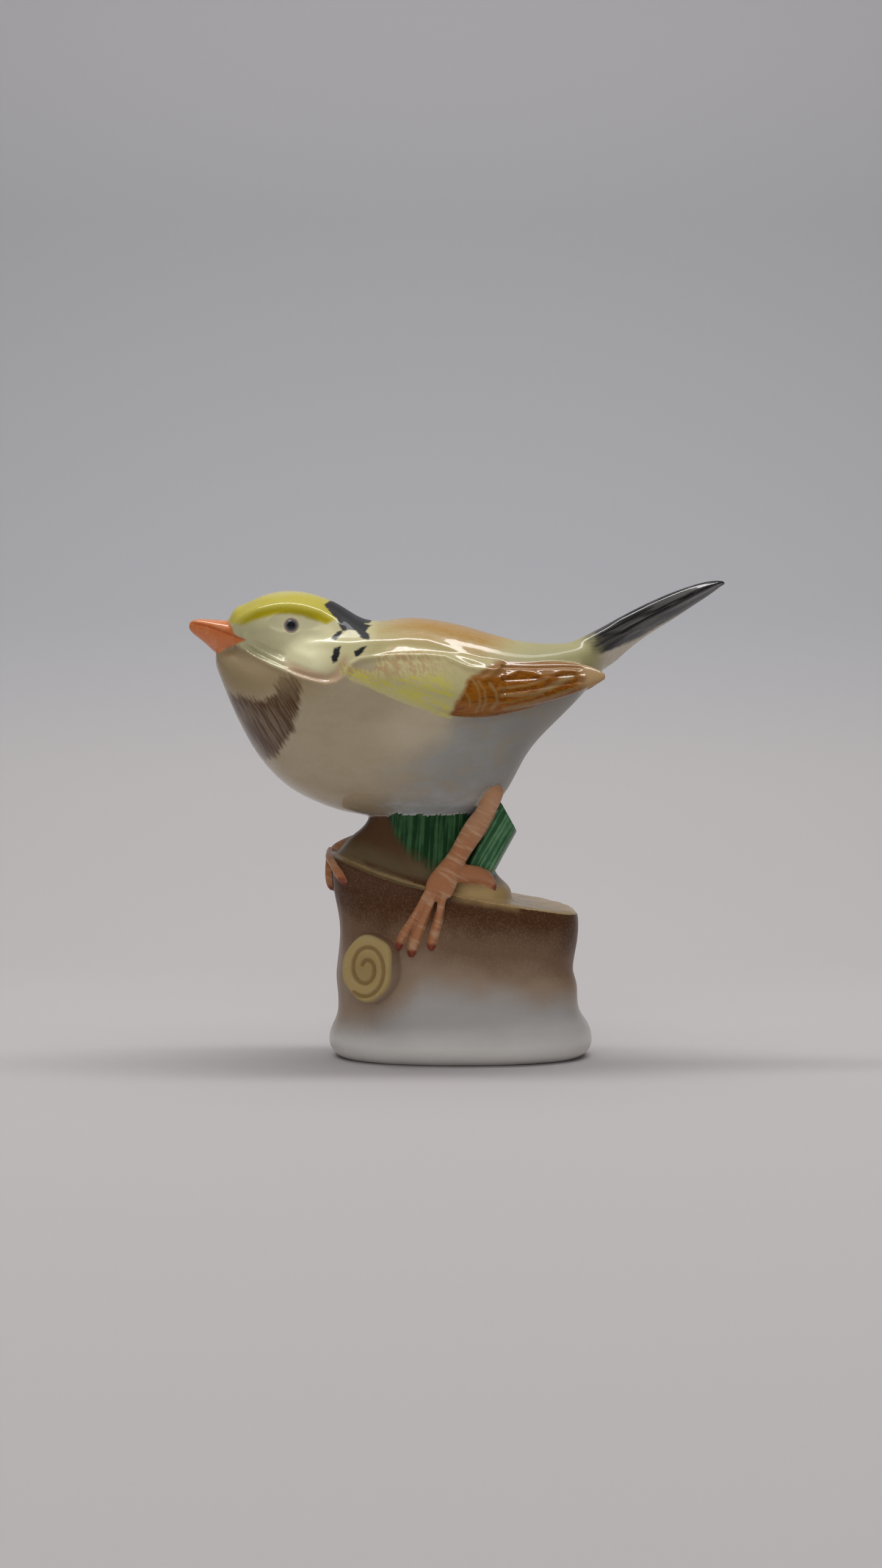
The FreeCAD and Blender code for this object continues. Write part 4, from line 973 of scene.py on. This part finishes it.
def stump_glaze(name):
    g = Glaze(name)
    broad = g.noise(8.0, detail=3.0)
    fine = g.noise(1.5, detail=4.0)
    speckle = g.noise(0.35, detail=3.0)
    swell, grit = broad - 0.5, fine - 0.5
    fade = g.place("bark_depth", swell * 4.0 + (speckle - 0.5) * 1.6, *BARK_FADE)
    foot = (g.layer("leg") + g.layer("toe")).step(0.35, 0.65)
    colour = bark_paint(g, swell, speckle, fade)
    colour = crest_paint(g, swell, colour)
    colour = sawn_paint(g, swell, grit, colour)
    colour = stub_paint(g, fine, grit, colour)
    colour = leaf_paint(g, fine, grit, colour)
    colour = foot_paint(g, grit, colour, foot)
    glossy = foot * 0.3 + (1.0 - fade) * 0.3 + g.layer("sawn") * 0.3 + 0.1
    return g.finish(colour, 0.35 + fine * 0.1, broad * 0.6 + fine * 0.15, glossy.least(0.6))


def sweep_paper():
    """The pale sweep: a lighter floor, with painted shade on the wall where it rises, eased off again towards
    the top.
    """
    g = Glaze("sweep_paper")
    # Painted shade on the wall, eased off again towards its top
    wall = g.z.step(*WALL_START_Z) - g.z.step(*WALL_TOP_Z) * 0.45
    colour = g.mix(wall, FLOOR_PAPER, WALL_PAINTED_SHADE)
    return g.finish(colour, 0.8, g.noise(40.0) * 0.1, 0.0)


PAINTED = {}
for node in frame["nodes"]:
    painter = bird_glaze if node in BIRD_NODES else stump_glaze
    if SLOT_OF[node] not in PAINTED:
        PAINTED[SLOT_OF[node]] = painter("painted_" + SLOT_OF[node])
GLAZES = {node: PAINTED[SLOT_OF[node]] for node in frame["nodes"]}


# ---------------------------------------------------------------- studio
# Places and sizes in the studio are in metres
SWEEP_NEAR, SWEEP_BEND, SWEEP_FAR = -0.9, -0.3, 0.16
SWEEP_RADIUS, SWEEP_HEIGHT, SWEEP_HALF_WIDTH = 0.30, 1.4, 1.6
SWEEP_STEPS = 24
FIGURINE_MIDDLE = (0.0, 0.0, 0.05)
ROOM_COLOUR, ROOM_STRENGTH = rgb(0.60, 0.60, 0.61), 0.14
CAMERA_PLACE = (-0.0036, -0.330, 0.050)
CAMERA_LENS, CAMERA_SENSOR = 40.99, 36.0        # millimetres
CAMERA_NEAR = 0.01


def backdrop():
    """A pale sweep: a floor that curves up into a wall behind the figurine."""
    turns = np.linspace(0.0, math.pi / 2, SWEEP_STEPS + 1)[1:]
    profile = [(SWEEP_NEAR, 0.0), (SWEEP_BEND, 0.0), (SWEEP_FAR, 0.0)]
    profile += [(SWEEP_FAR + SWEEP_RADIUS * math.sin(a), SWEEP_RADIUS * (1.0 - math.cos(a))) for a in turns]
    profile.append((SWEEP_FAR + SWEEP_RADIUS, SWEEP_HEIGHT))
    points = np.array([(side * SWEEP_HALF_WIDTH, y, z) for y, z in profile for side in (-1.0, 1.0)])
    faces = np.array([(2 * i, 2 * i + 1, 2 * i + 3, 2 * i + 2) for i in range(len(profile) - 1)])
    sweep = bpy.data.objects.new("sweep", mesh_of("sweep", points, faces))
    sweep.data.polygons.foreach_set("use_smooth", np.ones(len(faces), bool))
    bpy.context.scene.collection.objects.link(sweep)
    sweep.data.materials.append(sweep_paper())


def lamp(name, place, aim, size, strength, mirrored):
    """A soft panel; one that isn't mirrored lights the glaze without a highlight of its own."""
    light = bpy.data.lights.new(name, "AREA")
    light.shape = "RECTANGLE"
    light.size, light.size_y = size
    light.energy = strength
    made = bpy.data.objects.new(name, light)
    made.location = place
    made.rotation_mode = "QUATERNION"
    made.rotation_quaternion = (Vector(aim) - Vector(place)).to_track_quat("-Z", "Y")
    made.visible_glossy = mirrored
    bpy.context.scene.collection.objects.link(made)


def room():
    """The dim even light that fills the studio."""
    world = bpy.data.worlds.new("room")
    world.use_nodes = True
    world.node_tree.nodes["Background"].inputs["Color"].default_value = ROOM_COLOUR
    world.node_tree.nodes["Background"].inputs["Strength"].default_value = ROOM_STRENGTH
    bpy.context.scene.world = world


def camera():
    """A level camera that looks straight at the bird's left side."""
    made = bpy.data.objects.new("camera", bpy.data.cameras.new("camera"))
    made.location = CAMERA_PLACE
    made.rotation_euler = (math.pi / 2, 0.0, 0.0)
    made.data.sensor_width = CAMERA_SENSOR
    made.data.lens = CAMERA_LENS
    made.data.clip_start = CAMERA_NEAR
    bpy.context.scene.collection.objects.link(made)
    bpy.context.scene.camera = made


def studio():
    backdrop()
    lamp("overhead_panel", (0.0, 0.05, 0.75), FIGURINE_MIDDLE, (1.1, 0.9), 3.0, False)
    lamp("front_panel", (-0.2, -0.95, 0.7), FIGURINE_MIDDLE, (0.9, 0.6), 2.1, False)
    lamp("low_panel", (0.0, -0.8, 0.12), (0.0, 0.0, 0.03), (1.2, 0.22), 1.0, False)
    lamp("overhead_strip", (0.0, 0.07, 0.6), (0.0, 0.0, 0.06), (0.75, 0.08), 2.2, True)
    room()
    camera()
    bpy.context.scene.view_settings.view_transform = "Standard"


build_pieces()
studio()
